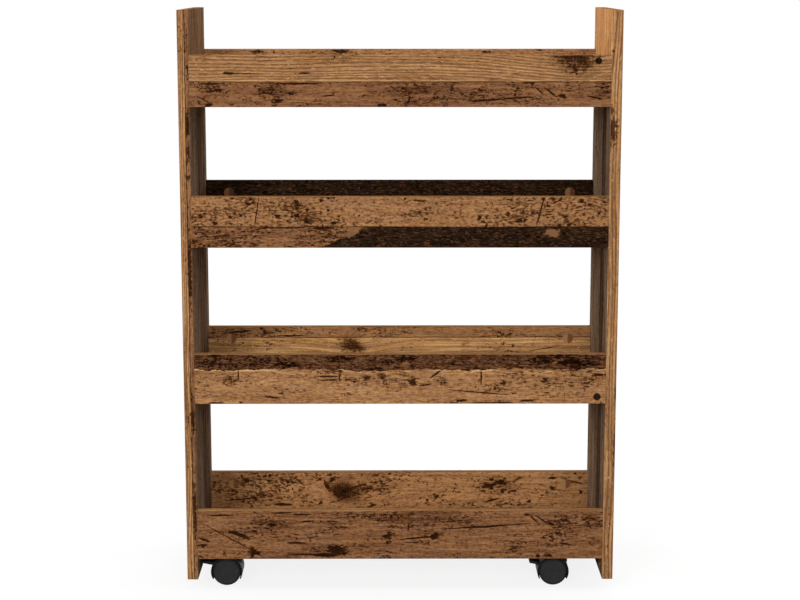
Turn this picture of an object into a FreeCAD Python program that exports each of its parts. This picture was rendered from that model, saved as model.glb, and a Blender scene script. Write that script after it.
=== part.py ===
"""Rolling storage cart: two side panels, four rail-sided trays and four twin-wheel casters.

The cart stands on the floor with its origin under its middle, +Z up, its front facing -Y
and +X to the right. All lengths are millimetres and all angles are degrees.
"""

import FreeCAD, Part
import math
import os

import Sketcher

doc = FreeCAD.newDocument("rolling_storage_cart")

# Driving dimensions: alias, value, meaning
SIZES = (
    ("cart_width", "600", "overall width over the side panels"),
    ("cart_depth", "220", "overall depth of the side panels"),
    ("board", "15", "thickness of every board"),
    ("arris", "0.8", "rounding along the board edges"),
    ("rail_height", "70", "height of the front and back rails"),
    ("panel_drop", "30", "side panel below the lowest rails"),
    ("panel_rise", "60", "side panel above the highest rails"),
    ("bottom_pitch", "224", "bottom tray to lower tray"),
    ("lower_pitch", "219", "lower tray to upper tray"),
    ("upper_pitch", "192", "upper tray to top tray"),
    ("fit_gap", "0.1", "clearance round a fastener in its hole"),
    ("end_room", "0.5", "room at the bottom of a blind hole"),
    ("panel_skin", "4.5", "board left behind a blind hole in its face"),
    ("cam_radius", "7.4", "radius of a cam lock"),
    ("cam_floor", "2.6", "board left behind a cam lock"),
    ("cam_setback", "34", "board end to the middle of a cam lock"),
    ("cam_drop", "17.5", "rail top edge to the middle of a cam lock"),
    ("cross_length", "9", "length of the driver cross in a cam lock"),
    ("cross_width", "1.6", "width of the driver cross in a cam lock"),
    ("cross_depth", "2", "depth of the driver cross in a cam lock"),
    ("cap_seat", "1", "cover cap below the rail face"),
    ("cap_proud", "0.5", "cover cap above the rail face"),
    ("bolt_thread_radius", "2.5", "radius of a cam bolt's thread"),
    ("bolt_shank_radius", "3", "radius of a cam bolt's shank"),
    ("bolt_head_radius", "3.5", "radius of a cam bolt's head"),
    ("bolt_head_length", "3", "length of a cam bolt's head"),
    ("dowel_radius", "4", "radius of a dowel"),
    ("dowel_reach", "20", "dowel in the edge of a board"),
    ("dowel_rise", "17.5", "rail bottom edge to the end dowel"),
    ("shelf_cam_spread", "24", "shelf cam lock from the middle of the shelf"),
    ("shelf_dowel_inset", "105", "shelf end to the outer dowel in its long edge"),
    ("wheel_radius", "20", "radius of a caster wheel"),
    ("wheel_width", "12.4", "width of a caster wheel"),
    ("wheel_chamfer", "1.6", "chamfer round a wheel's outer face"),
    ("wheel_face", "3", "thickness of a wheel's disc"),
    ("wheel_rim", "3", "thickness of a wheel's tread"),
    ("wheel_hub", "5", "radius of a wheel's hub"),
    ("wheel_gap", "0.3", "wheel to the web beside it"),
    ("axle_radius", "2.5", "radius of a wheel axle"),
    ("axle_cover", "2", "wheel face left over the end of the axle"),
    ("running_gap", "0.05", "clearance round a turning pin"),
    ("hood_clearance", "0.8", "wheel tread to the inside of the hood"),
    ("hood_wall", "1.6", "thickness of the hood's arch"),
    ("hood_overhang", "0.3", "hood past the outer face of a wheel"),
    ("hood_wrap", "28.5", "angle that the arch reaches below the axle"),
    ("web_width", "10", "thickness of the web between the wheels"),
    ("axle_boss_radius", "6", "radius of the web round the axle"),
    ("trail", "14.5", "swivel axis to the wheel axle"),
    ("collar_radius", "7", "radius of the swivel collar on the hood"),
    ("collar_length", "12.7", "length of the swivel collar"),
    ("collar_gap", "0.3", "swivel collar to the mounting plate"),
    ("head_gap", "0.6", "top of the hood to the mounting plate"),
    ("kingpin_radius", "3", "radius of the swivel pin"),
    ("kingpin_length", "19", "swivel pin below the mounting plate"),
    ("plate_size", "40", "side of the square mounting plate"),
    ("plate_thickness", "2", "thickness of the mounting plate"),
    ("plate_corner", "4", "corner radius of the mounting plate"),
    ("plate_margin", "2", "mounting plate to the edge of the shelf"),
    ("screw_offset", "14.5", "plate screw from the swivel axis, each way"),
    ("screw_radius", "1.75", "radius of a plate screw"),
    ("screw_head_radius", "3.5", "radius of a plate screw's head"),
    ("screw_grip", "10.5", "plate screw in the shelf"),
    ("lever_slope", "10.7", "slope of a released brake lever"),
    ("lever_travel", "16", "turn of a brake lever from released to pressed"),
    ("lever_length", "19.8", "brake pin to the tip of the lever"),
    ("lever_thickness", "3.6", "thickness of a brake lever"),
    ("lever_width", "22", "width of a brake lever's pedal"),
    ("lever_arm_width", "5.6", "width of a brake lever's arm"),
    ("lever_boss_radius", "2.6", "radius of a brake lever's boss"),
    ("lever_room", "0.7", "brake lever to the hood round it"),
    ("pedal_start", "5.4", "brake pin to the inner end of the pedal"),
    ("brake_pin_radius", "1.25", "radius of a brake pin"),
    ("brake_pin_back", "14", "brake pin behind the axle"),
    ("brake_pin_rise", "8.63", "brake pin above the axle"),
    ("swing_room", "5", "swivelling brake lever to the side panel"),
)

# Places worked out from the driving dimensions: alias, formula
LAYOUT = (
    ("inner_half", "Sizes.cart_width / 2 - Sizes.board"),
    ("rail_length", "2 * inner_half"),
    ("half_depth", "Sizes.cart_depth / 2"),
    ("shelf_half", "half_depth - Sizes.board"),
    ("mid_board", "Sizes.board / 2"),
    ("blind_depth", "Sizes.board - Sizes.panel_skin"),
    ("blind_length", "blind_depth - Sizes.end_room"),
    ("cam_hole_radius", "Sizes.cam_radius + Sizes.fit_gap"),
    ("cam_hole_depth", "Sizes.board - Sizes.cam_floor"),
    ("cam_height", "cam_hole_depth - Sizes.cap_seat"),
    ("cam_rise", "Sizes.rail_height - Sizes.cam_drop"),
    ("bolt_bore", "Sizes.bolt_head_radius + Sizes.fit_gap"),
    ("dowel_bore", "Sizes.dowel_radius + Sizes.fit_gap"),
    ("dowel_hole_depth", "Sizes.dowel_reach + Sizes.end_room"),
    ("hood_inner", "Sizes.wheel_radius + Sizes.hood_clearance"),
    ("hood_radius", "hood_inner + Sizes.hood_wall"),
    ("web_half", "Sizes.web_width / 2"),
    ("wheel_start", "web_half + Sizes.wheel_gap"),
    ("hood_half", "wheel_start + Sizes.wheel_width + Sizes.hood_overhang"),
    ("axle_bore_depth", "Sizes.wheel_width - Sizes.axle_cover"),
    ("axle_half", "wheel_start + axle_bore_depth - Sizes.wheel_gap"),
    ("axle_bore", "Sizes.axle_radius + Sizes.running_gap"),
    ("plate_bottom", "Sizes.wheel_radius + hood_radius + Sizes.head_gap"),
    ("tray_bottom", "plate_bottom + Sizes.plate_thickness"),
    ("tray_lower", "tray_bottom + Sizes.bottom_pitch"),
    ("tray_upper", "tray_lower + Sizes.lower_pitch"),
    ("tray_top", "tray_upper + Sizes.upper_pitch"),
    ("panel_bottom", "tray_bottom - Sizes.panel_drop"),
    ("panel_height", "tray_top + Sizes.rail_height + Sizes.panel_rise - panel_bottom"),
    ("lever_half", "Sizes.lever_thickness / 2"),
    ("lever_reach", "Sizes.brake_pin_back + Sizes.lever_length * cos(Sizes.lever_slope * 1deg)"),
    ("swivel_x", "inner_half - Sizes.swing_room - lever_reach - Sizes.trail"),
    ("swivel_y", "shelf_half - Sizes.plate_margin - Sizes.plate_size / 2"),
    ("window_run", "hood_radius - Sizes.brake_pin_back"),
    ("window_top", "Sizes.brake_pin_rise + window_run * tan(Sizes.lever_slope * 1deg)"
     " + lever_half + Sizes.lever_room"),
    ("window_bottom", "Sizes.brake_pin_rise"
     " + window_run * tan((Sizes.lever_slope - Sizes.lever_travel) * 1deg)"
     " - lever_half - Sizes.lever_room"),
)

TIERS = ("bottom", "lower", "upper", "top")
ENDS = (-1, 1)
NODES = []


def fill_sheets():
    """Write the driving dimensions and the places worked out from them into two sheets."""
    sizes = doc.addObject("Spreadsheet::Sheet", "Sizes")
    for row, (alias, value, meaning) in enumerate(SIZES, start=1):
        sizes.set(f"A{row}", meaning)
        sizes.set(f"B{row}", value)
        sizes.setAlias(f"B{row}", alias)
    layout = doc.addObject("Spreadsheet::Sheet", "Layout")
    for row, (alias, formula) in enumerate(LAYOUT, start=1):
        layout.set(f"A{row}", alias.replace("_", " "))
        layout.set(f"B{row}", "=" + formula)
        layout.setAlias(f"B{row}", alias)
    doc.recompute()
    return sizes, layout


sizes, layout = fill_sheets()


def size(alias):
    """Read a driving dimension."""
    return float(sizes.get(alias))


def place(alias):
    """Read a place that the layout sheet works out."""
    return float(layout.get(alias))


def node(item, label):
    """Name a finished sub-part and keep it for writing."""
    item.Label = label
    NODES.append(item)
    return item


def move(item, across, deep, up):
    """Bind where an object stands to three formulas."""
    for axis, formula in zip("xyz", (across, deep, up)):
        item.setExpression(f"Placement.Base.{axis}", formula)
    return item


def bind(item, **formulas):
    """Bind an object's properties to formulas."""
    for name, formula in formulas.items():
        item.setExpression(name, formula)
    return item


def new_body(label):
    """Start a sub-part that is built from sketches."""
    return node(doc.addObject("PartDesign::Body", label), label)


def sketch_on(body, name, plane, lift=None):
    """Lay a sketch on one of the body's own planes, lifted along the plane's normal."""
    sketch = body.newObject("Sketcher::SketchObject", name)
    support = next(item for item in body.Origin.OriginFeatures if item.Role == plane)
    sketch.AttachmentSupport = [(support, "")]
    sketch.MapMode = "FlatFace"
    if lift:
        sketch.setExpression("AttachmentOffset.Base.z", lift)
    return sketch


def hold(sketch, piece, point, across, up):
    """Hold a sketch point at two formulas from the axes, or on an axis where one is None."""
    for kind, axis, formula in (("DistanceX", -2, across), ("DistanceY", -1, up)):
        if formula is None:
            sketch.addConstraint(Sketcher.Constraint("PointOnObject", piece, point, axis))
        else:
            row = sketch.addConstraint(Sketcher.Constraint(kind, -1, 1, piece, point, 1.0))
            sketch.setExpression(f"Constraints[{row}]", formula)


def outline(sketch, corners):
    """Draw a closed outline whose corners are held by formulas."""
    count = len(corners)
    turn = 2 * math.pi / count
    ring = [FreeCAD.Vector(math.cos(turn * k), math.sin(turn * k), 0) for k in range(count)]
    for k in range(count):
        sketch.addGeometry(Part.LineSegment(ring[k], ring[(k + 1) % count]), False)
    for k in range(count):
        sketch.addConstraint(Sketcher.Constraint("Coincident", k, 2, (k + 1) % count, 1))
    for k, (across, up) in enumerate(corners):
        hold(sketch, k, 1, across, up)


def circles(sketch, spots, radius):
    """Draw equal circles round the given spots."""
    for across, up in spots:
        start = Part.Circle(FreeCAD.Vector(1, 1, 0), FreeCAD.Vector(0, 0, 1), 1)
        piece = sketch.addGeometry(start, False)
        hold(sketch, piece, 3, across, up)
        row = sketch.addConstraint(Sketcher.Constraint("Radius", piece, 1.0))
        sketch.setExpression(f"Constraints[{row}]", radius)


def pad(body, sketch, length, along_normal=True):
    """Raise a sketch into a solid."""
    feature = body.newObject("PartDesign::Pad", sketch.Name + "_pad")
    feature.Profile = sketch
    feature.Reversed = not along_normal
    return bind(feature, Length=length)


def drill(body, name, plane, lift, spots, radius, depth, along_normal):
    """Drill equal blind holes from a plane of the body and check that they cut it."""
    doc.recompute()
    before = body.Shape.Volume
    sketch = sketch_on(body, name, plane, lift)
    circles(sketch, spots, radius)
    feature = body.newObject("PartDesign::Pocket", name + "_pocket")
    feature.Profile = sketch
    feature.Reversed = along_normal
    bind(feature, Length=depth)
    doc.recompute()
    if not body.Shape.Volume < before:
        raise RuntimeError(f"{body.Label}: {name} cut nothing")


def round_edges(body, base, wanted):
    """Round the edges of a feature that the test picks by their direction."""
    doc.recompute()
    names = [f"Edge{k}" for k, edge in enumerate(base.Shape.Edges, start=1)
             if wanted(edge.tangentAt(edge.FirstParameter))]
    feature = body.newObject("PartDesign::Fillet", base.Name + "_arris")
    feature.Base = (base, names)
    return bind(feature, Radius="Sizes.arris")


def side_panel(label, side):
    """One side board, with blind holes in its inner face for the bolts and dowels of every tray."""
    body = new_body(label)
    front = sketch_on(body, label + "_face", "YZ_Plane")
    outline(front, [(None, None), ("Sizes.cart_depth", None),
                    ("Sizes.cart_depth", "Layout.panel_height"), (None, "Layout.panel_height")])
    blank = pad(body, front, "Sizes.board")
    round_edges(body, blank, lambda direction: True)
    rows = ("Layout.mid_board", "Sizes.cart_depth - Layout.mid_board")
    shelf_rows = ("Layout.half_depth - Sizes.shelf_cam_spread",
                  "Layout.half_depth + Sizes.shelf_cam_spread")
    floors = [f"Layout.tray_{tier} - Layout.panel_bottom" for tier in TIERS]
    bolts = [(row, f"{floor} + Layout.cam_rise") for floor in floors for row in rows]
    bolts += [(row, f"{floor} + Layout.mid_board") for floor in floors for row in shelf_rows]
    dowels = [(row, f"{floor} + Sizes.dowel_rise") for floor in floors for row in rows]
    inner = "Sizes.board" if side < 0 else None
    drill(body, label + "_bolt_holes", "YZ_Plane", inner, bolts,
          "Sizes.bolt_thread_radius + Sizes.fit_gap", "Layout.blind_depth", side > 0)
    drill(body, label + "_dowel_holes", "YZ_Plane", inner, dowels,
          "Layout.dowel_bore", "Layout.blind_depth", side > 0)
    outer = "-Sizes.cart_width / 2" if side < 0 else "Layout.inner_half"
    move(body, outer, "-Layout.half_depth", "Layout.panel_bottom")


def drill_ends(body, label, bolts, dowels):
    """Drill a board's two ends for its cam bolts and dowels."""
    for end, lift, inward in (("left", None, True), ("right", "Layout.rail_length", False)):
        drill(body, f"{label}_{end}_bolt_holes", "YZ_Plane", lift, bolts,
              "Layout.bolt_bore", "Sizes.cam_setback", inward)
        if dowels:
            drill(body, f"{label}_{end}_dowel_holes", "YZ_Plane", lift, dowels,
                  "Layout.dowel_bore", "Layout.dowel_hole_depth", inward)


def shelf_dowel_columns():
    """Places of the dowels along a shelf's long edge, from the shelf's left end."""
    return ("Sizes.shelf_dowel_inset", "Layout.inner_half",
            "Layout.rail_length - Sizes.shelf_dowel_inset")


def rail(label, tier, front):
    """One tray rail, with cam locks in its inner face and holes in its ends."""
    body = new_body(label)
    face = sketch_on(body, label + "_face", "XZ_Plane")
    outline(face, [(None, None), ("Layout.rail_length", None),
                   ("Layout.rail_length", "Sizes.rail_height"), (None, "Sizes.rail_height")])
    blank = pad(body, face, "Sizes.board", along_normal=False)
    round_edges(body, blank, lambda direction: abs(direction.x) > abs(direction.y + direction.z))
    inner = "-Sizes.board" if front else None
    cams = [("Sizes.cam_setback", "Layout.cam_rise"),
            ("Layout.rail_length - Sizes.cam_setback", "Layout.cam_rise")]
    drill(body, label + "_cam_holes", "XZ_Plane", inner, cams,
          "Layout.cam_hole_radius", "Layout.cam_hole_depth", front)
    columns = [(column, "Layout.mid_board") for column in shelf_dowel_columns()]
    drill(body, label + "_shelf_dowel_holes", "XZ_Plane", inner, columns,
          "Layout.dowel_bore", "Layout.blind_depth", front)
    drill_ends(body, label, [("Layout.mid_board", "Layout.cam_rise")],
               [("Layout.mid_board", "Sizes.dowel_rise")])
    deep = "-Layout.half_depth" if front else "Layout.shelf_half"
    move(body, "-Layout.inner_half", deep, f"Layout.tray_{tier}")


def shelf(label, tier):
    """One tray floor between its two rails, with cam locks let into its underside."""
    body = new_body(label)
    plan = sketch_on(body, label + "_plan", "XY_Plane")
    outline(plan, [(None, None), ("Layout.rail_length", None),
                   ("Layout.rail_length", "2 * Layout.shelf_half"),
                   (None, "2 * Layout.shelf_half")])
    pad(body, plan, "Sizes.board")
    rows = ("Layout.shelf_half - Sizes.shelf_cam_spread",
            "Layout.shelf_half + Sizes.shelf_cam_spread")
    columns = ("Sizes.cam_setback", "Layout.rail_length - Sizes.cam_setback")
    drill(body, label + "_cam_holes", "XY_Plane", None,
          [(column, row) for column in columns for row in rows],
          "Layout.cam_hole_radius", "Layout.cam_hole_depth", True)
    drill_ends(body, label, [(row, "Layout.mid_board") for row in rows], None)
    dowels = [(column, "Layout.mid_board") for column in shelf_dowel_columns()]
    for edge, lift, inward in (("front", None, False), ("back", "-2 * Layout.shelf_half", True)):
        drill(body, f"{label}_{edge}_dowel_holes", "XZ_Plane", lift, dowels,
              "Layout.dowel_bore", "Layout.dowel_hole_depth", inward)
    if tier == TIERS[0]:
        pilots = [(f"Layout.inner_half + {side} * Layout.swivel_x + {right} * Sizes.screw_offset",
                   f"Layout.shelf_half + {row} * Layout.swivel_y + {back} * Sizes.screw_offset")
                  for side in ENDS for row in ENDS for right in ENDS for back in ENDS]
        drill(body, label + "_screw_holes", "XY_Plane", None, pilots,
              "Sizes.screw_radius + Sizes.fit_gap", "Sizes.screw_grip + Sizes.end_room", True)
    move(body, "-Layout.inner_half", "-Layout.shelf_half", f"Layout.tray_{tier}")


def cylinder(name, radius, height):
    """A plain cylinder standing on the origin."""
    return bind(doc.addObject("Part::Cylinder", name), Radius=radius, Height=height)


def box(name, length, width, height):
    """A plain box with its lowest corner at the origin."""
    return bind(doc.addObject("Part::Box", name), Length=length, Width=width, Height=height)


def fuse(name, pieces):
    """Join solids into one."""
    joined = doc.addObject("Part::MultiFuse", name)
    joined.Shapes = pieces
    return joined


def cut(name, base, tool):
    """Cut one solid by another."""
    result = doc.addObject("Part::Cut", name)
    result.Base = base
    result.Tool = tool
    return result


# Turns that lay a cylinder's own axis along another axis of the cart
TO_FRONT = FreeCAD.Rotation(FreeCAD.Vector(1, 0, 0), 90)
TO_RIGHT = FreeCAD.Rotation(FreeCAD.Vector(0, 1, 0), 90)


def turned(item, rotation):
    """Turn an object before its place is bound."""
    item.Placement = FreeCAD.Placement(FreeCAD.Vector(), rotation)
    return item


def cam_lock_pattern():
    """A cam lock standing on its inner end, with its bolt coming in along +X."""
    drum = cylinder("cam_drum", "Sizes.cam_radius", "Layout.cam_height")
    socket = turned(cylinder("cam_socket", "Layout.bolt_bore", "2 * Sizes.cam_radius"), TO_RIGHT)
    move(socket, "0", "0", "Layout.mid_board - Sizes.cam_floor")
    slots = []
    for name, length, width in (("long", "Sizes.cross_length", "Sizes.cross_width"),
                                ("short", "Sizes.cross_width", "Sizes.cross_length")):
        slot = box(f"cam_{name}_slot", length, width, "2 * Sizes.cross_depth")
        slots.append(move(slot, f"-{length} / 2", f"-{width} / 2",
                          "Layout.cam_height - Sizes.cross_depth"))
    return cut("cam_lock_pattern", drum, fuse("cam_lock_cuts", [socket] + slots))


def cam_bolt_pattern():
    """A cam bolt along +Z, with its shoulder at the origin and its thread below it."""
    thread = move(cylinder("bolt_thread", "Sizes.bolt_thread_radius", "Layout.blind_length"),
                  "0", "0", "-Layout.blind_length")
    shank = cylinder("bolt_shank", "Sizes.bolt_shank_radius", "Sizes.cam_setback")
    head = move(cylinder("bolt_head", "Sizes.bolt_head_radius", "Sizes.bolt_head_length"),
                "0", "0", "Sizes.cam_setback - Sizes.bolt_head_length")
    return fuse("cam_bolt_pattern", [thread, shank, head])


def dowel_pattern():
    """A dowel along +Z that passes the joint face at the origin."""
    return move(cylinder("dowel_pattern", "Sizes.dowel_radius",
                         "Layout.blind_length + Sizes.dowel_reach"),
                "0", "0", "-Layout.blind_length")


def cap_pattern():
    """A cover cap along +Z that stands on its cam lock."""
    return cylinder("cap_pattern", "Sizes.cam_radius", "Sizes.cap_seat + Sizes.cap_proud")


def screw_pattern():
    """A countersunk screw along +Z, with its head flush at the origin."""
    head = bind(doc.addObject("Part::Cone", "screw_head"), Radius1="Sizes.screw_head_radius",
                Radius2="Sizes.screw_radius", Height="Sizes.plate_thickness")
    shank = move(cylinder("screw_shank", "Sizes.screw_radius", "Sizes.screw_grip"),
                 "0", "0", "Sizes.plate_thickness")
    return fuse("screw_pattern", [head, shank])


def facing(ahead, side):
    """The rotation that lays a pattern's +Z along one direction and its +X along another."""
    return FreeCAD.Rotation(side, ahead.cross(side), ahead, "ZXY")


def group(label, pattern, spots):
    """One node of equal fasteners, each a separate solid at its own spot."""
    solids = []
    for point, rotation in spots:
        solid = pattern.Shape.copy()
        solid.Placement = FreeCAD.Placement(point, rotation).multiply(solid.Placement)
        solids.extend(solid.Solids)
    item = doc.addObject("Part::Feature", label)
    item.Shape = Part.makeCompound(solids)
    node(item, label)


def frame_fasteners():
    """The cam locks, cam bolts, cover caps and dowels that hold the boards together."""
    right, back, up = (FreeCAD.Vector(*axis) for axis in ((1, 0, 0), (0, 1, 0), (0, 0, 1)))
    end_x, cam_x = place("inner_half"), place("inner_half") - size("cam_setback")
    rail_y, face_y = place("half_depth") - place("mid_board"), place("shelf_half")
    spots = {name: [] for name in ("rail_cam_locks", "rail_cam_caps", "rail_cam_bolts", "rail_dowels",
                                   "shelf_cam_locks", "shelf_cam_bolts", "shelf_dowels")}
    for floor in (place("tray_" + tier) for tier in TIERS):
        cam_z, mid_z = floor + place("cam_rise"), floor + place("mid_board")
        for row in ENDS:
            for end in ENDS:
                inward, outward = back * -row, right * end
                in_hole, in_end = facing(inward, outward), facing(-outward, up)
                spots["rail_cam_locks"].append(
                    (FreeCAD.Vector(end * cam_x, row * (face_y + place("cam_hole_depth")), cam_z), in_hole))
                spots["rail_cam_caps"].append(
                    (FreeCAD.Vector(end * cam_x, row * (face_y + size("cap_seat")), cam_z), in_hole))
                spots["rail_cam_bolts"].append((FreeCAD.Vector(end * end_x, row * rail_y, cam_z), in_end))
                spots["rail_dowels"].append(
                    (FreeCAD.Vector(end * end_x, row * rail_y, floor + size("dowel_rise")), in_end))
                shelf_y = row * size("shelf_cam_spread")
                spots["shelf_cam_locks"].append(
                    (FreeCAD.Vector(end * cam_x, shelf_y, floor + place("cam_hole_depth")),
                     facing(-up, outward)))
                spots["shelf_cam_bolts"].append((FreeCAD.Vector(end * end_x, shelf_y, mid_z), in_end))
            for column in (-1, 0, 1):
                column_x = column * (place("inner_half") - size("shelf_dowel_inset"))
                spots["shelf_dowels"].append(
                    (FreeCAD.Vector(column_x, row * face_y, mid_z), facing(back * -row, right)))
    patterns = {"cam_locks": cam_lock_pattern(), "cam_caps": cap_pattern(),
                "cam_bolts": cam_bolt_pattern(), "dowels": dowel_pattern()}
    doc.recompute()
    for label, places in spots.items():
        group(label, patterns[label.split("_", 1)[1]], places)


def caster_screws():
    """The countersunk screws that hold the caster plates under the bottom shelf."""
    pattern = screw_pattern()
    doc.recompute()
    offset = size("screw_offset")
    spots = [(FreeCAD.Vector(side * place("swivel_x") + right * offset,
                             row * place("swivel_y") + back * offset,
                             place("plate_bottom")), FreeCAD.Rotation())
             for side in ENDS for row in ENDS for right in ENDS for back in ENDS]
    group("caster_screws", pattern, spots)


def caster_plate(label, across, deep):
    """A square mounting plate with a swivel pin hole and four countersunk holes."""
    body = new_body(label)
    plan = sketch_on(body, label + "_plan", "XY_Plane")
    outline(plan, [(None, None), ("Sizes.plate_size", None),
                   ("Sizes.plate_size", "Sizes.plate_size"), (None, "Sizes.plate_size")])
    blank = pad(body, plan, "Sizes.plate_thickness")
    corners = round_edges(body, blank, lambda direction: abs(direction.z) > abs(direction.x + direction.y))
    bind(corners, Radius="Sizes.plate_corner")
    middle = "Sizes.plate_size / 2"
    drill(body, label + "_pin_hole", "XY_Plane", None, [(middle, middle)],
          "Sizes.kingpin_radius + Sizes.running_gap", "Sizes.plate_thickness", True)
    for right in ENDS:
        for back in ENDS:
            sink = body.newObject("PartDesign::SubtractiveCone", label + "_sink")
            bind(sink, Radius1="Sizes.screw_head_radius + Sizes.fit_gap",
                 Radius2="Sizes.screw_radius + Sizes.fit_gap", Height="Sizes.plate_thickness")
            move(sink, f"{middle} + {right} * Sizes.screw_offset",
                 f"{middle} + {back} * Sizes.screw_offset", "0")
    move(body, f"{across} - {middle}", f"{deep} - {middle}", "Layout.plate_bottom")


def cross_pin(name, radius, half, across, deep, up):
    """A cylinder lying front to back, reaching half to each side of its middle."""
    pin = turned(cylinder(name, radius, f"2 * {half}"), TO_FRONT)
    return move(pin, across, f"{deep} + {half}", up)


def arch_sector(name, radius, half, across, deep):
    """The part of a cylinder round the axle that the hood wraps."""
    lean = FreeCAD.Rotation(FreeCAD.Vector(0, 0, 1), -size("hood_wrap"))
    sector = turned(cylinder(name, radius, f"2 * {half}"), TO_FRONT.multiply(lean))
    bind(sector, Angle="180 + 2 * Sizes.hood_wrap")
    return move(sector, across, f"{deep} + {half}", "Sizes.wheel_radius")


def upright(name, radius, height, across, deep, up):
    """A standing cylinder."""
    return move(cylinder(name, radius, height), across, deep, up)


def brake_cuts(label, axle_x, deep):
    """The pedal window, arm slot and pin hole that a braked hood has."""
    room = "Sizes.lever_room"
    top, bottom = "Layout.window_top", "Layout.window_bottom"
    pin_x = f"{axle_x} - Sizes.brake_pin_back"
    outside = f"{axle_x} - Layout.hood_radius - {room}"
    boss = f"(Sizes.lever_boss_radius + {room})"
    cuts = []
    for name, width, inner in (("window", "Sizes.lever_width", f"{pin_x} - {boss}"),
                               ("slot", "Sizes.lever_arm_width", f"{pin_x} + {boss}")):
        half = f"({width} / 2 + {room} / 2)"
        hole = box(f"{label}_{name}", f"{inner} - ({outside})", f"2 * {half}", f"{top} - {bottom}")
        cuts.append(move(hole, outside, f"{deep} - {half}", f"Sizes.wheel_radius + {bottom}"))
    cuts.append(cross_pin(f"{label}_brake_pin_hole", "Sizes.brake_pin_radius + Sizes.running_gap",
                          "Layout.web_half", pin_x, deep, "Sizes.wheel_radius + Sizes.brake_pin_rise"))
    return cuts


def hood(label, across, deep, braked):
    """The swivelling housing: an arch over both wheels, a web between them and a swivel collar."""
    axle_x = f"{across} - Sizes.trail"
    axle_z = "Sizes.wheel_radius"
    arch = arch_sector(f"{label}_arch", "Layout.hood_radius", "Layout.hood_half", axle_x, deep)
    collar = upright(f"{label}_collar", "Sizes.collar_radius", "Sizes.collar_length", across, deep,
                     "Layout.plate_bottom - Sizes.collar_gap - Sizes.collar_length")
    wheel_room = cross_pin(f"{label}_wheel_room", "Layout.hood_inner", "2 * Layout.hood_half",
                           axle_x, deep, axle_z)
    shell = cut(f"{label}_shell", fuse(f"{label}_outside", [arch, collar]), wheel_room)
    web = arch_sector(f"{label}_web", "Layout.hood_inner + Sizes.hood_wall / 2", "Layout.web_half",
                      axle_x, deep)
    boss = cross_pin(f"{label}_boss", "Sizes.axle_boss_radius", "Layout.web_half",
                     axle_x, deep, axle_z)
    bores = [cross_pin(f"{label}_axle_bore", "Layout.axle_bore", "Layout.hood_half",
                       axle_x, deep, axle_z),
             upright(f"{label}_pin_bore", "Sizes.kingpin_radius + Sizes.running_gap",
                     "Sizes.kingpin_length + Sizes.end_room", across, deep,
                     "Layout.plate_bottom - Sizes.kingpin_length - Sizes.end_room")]
    if braked:
        bores += brake_cuts(label, axle_x, deep)
    solid = fuse(f"{label}_solid", [shell, web, boss])
    node(cut(label + "_cut", solid, fuse(f"{label}_bores", bores)), label)


def wheel(label, axle_x, deep, side):
    """A moulded wheel: disc, tread, hub and a blind axle bore, turned about its own axis."""
    body = new_body(label)
    profile = sketch_on(body, label + "_profile", "YZ_Plane")
    rim = "Sizes.wheel_radius - Sizes.wheel_rim"
    chamfered = "Sizes.wheel_radius - Sizes.wheel_chamfer"
    disc = "Sizes.wheel_width - Sizes.wheel_face"
    outline(profile, [("Layout.axle_bore_depth", None), ("Sizes.wheel_width", None),
                      ("Sizes.wheel_width", chamfered),
                      ("Sizes.wheel_width - Sizes.wheel_chamfer", "Sizes.wheel_radius"),
                      (None, "Sizes.wheel_radius"), (None, rim), (disc, rim),
                      (disc, "Sizes.wheel_hub"), (None, "Sizes.wheel_hub"),
                      (None, "Layout.axle_bore"), ("Layout.axle_bore_depth", "Layout.axle_bore")])
    turn = body.newObject("PartDesign::Revolution", label + "_turn")
    turn.Profile = profile
    turn.ReferenceAxis = (profile, ["H_Axis"])
    turn.Angle = 360
    if side < 0:
        turned(body, FreeCAD.Rotation(FreeCAD.Vector(0, 0, 1), 180))
    move(body, axle_x, f"{deep} + {side} * Layout.wheel_start", "Sizes.wheel_radius")


def brake_lever(label, axle_x, deep):
    """A foot lever: a pedal outside the hood and a narrow arm on the brake pin inside it."""
    body = new_body(label)
    thick, half = "Sizes.lever_thickness", "Layout.lever_half"
    tip = f"(Sizes.lever_length - {half})"
    for name, start, length, width in (("arm", "0", "Sizes.pedal_start + " + half, "Sizes.lever_arm_width"),
                                       ("pedal", "Sizes.pedal_start", f"{tip} - Sizes.pedal_start",
                                        "Sizes.lever_width")):
        bar = body.newObject("PartDesign::AdditiveBox", f"{label}_{name}")
        bind(bar, Length=length, Width=width, Height=thick)
        move(bar, start, f"-{width} / 2", f"-{half}")
    for name, radius, width, where in (("boss", "Sizes.lever_boss_radius", "Sizes.lever_arm_width", "0"),
                                       ("tip", half, "Sizes.lever_width", tip)):
        end = turned(body.newObject("PartDesign::AdditiveCylinder", f"{label}_{name}"), TO_FRONT)
        bind(end, Radius=radius, Height=width)
        move(end, where, f"{width} / 2", "0")
    bore = turned(body.newObject("PartDesign::SubtractiveCylinder", f"{label}_bore"), TO_FRONT)
    bind(bore, Radius="Sizes.brake_pin_radius + Sizes.running_gap", Height="2 * Sizes.lever_arm_width")
    move(bore, "0", "Sizes.lever_arm_width", "0")
    tilt = FreeCAD.Rotation(FreeCAD.Vector(0, 1, 0), size("lever_slope"))
    turned(body, tilt.multiply(FreeCAD.Rotation(FreeCAD.Vector(0, 0, 1), 180)))
    move(body, f"{axle_x} - Sizes.brake_pin_back", deep, "Sizes.wheel_radius + Sizes.brake_pin_rise")


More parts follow.
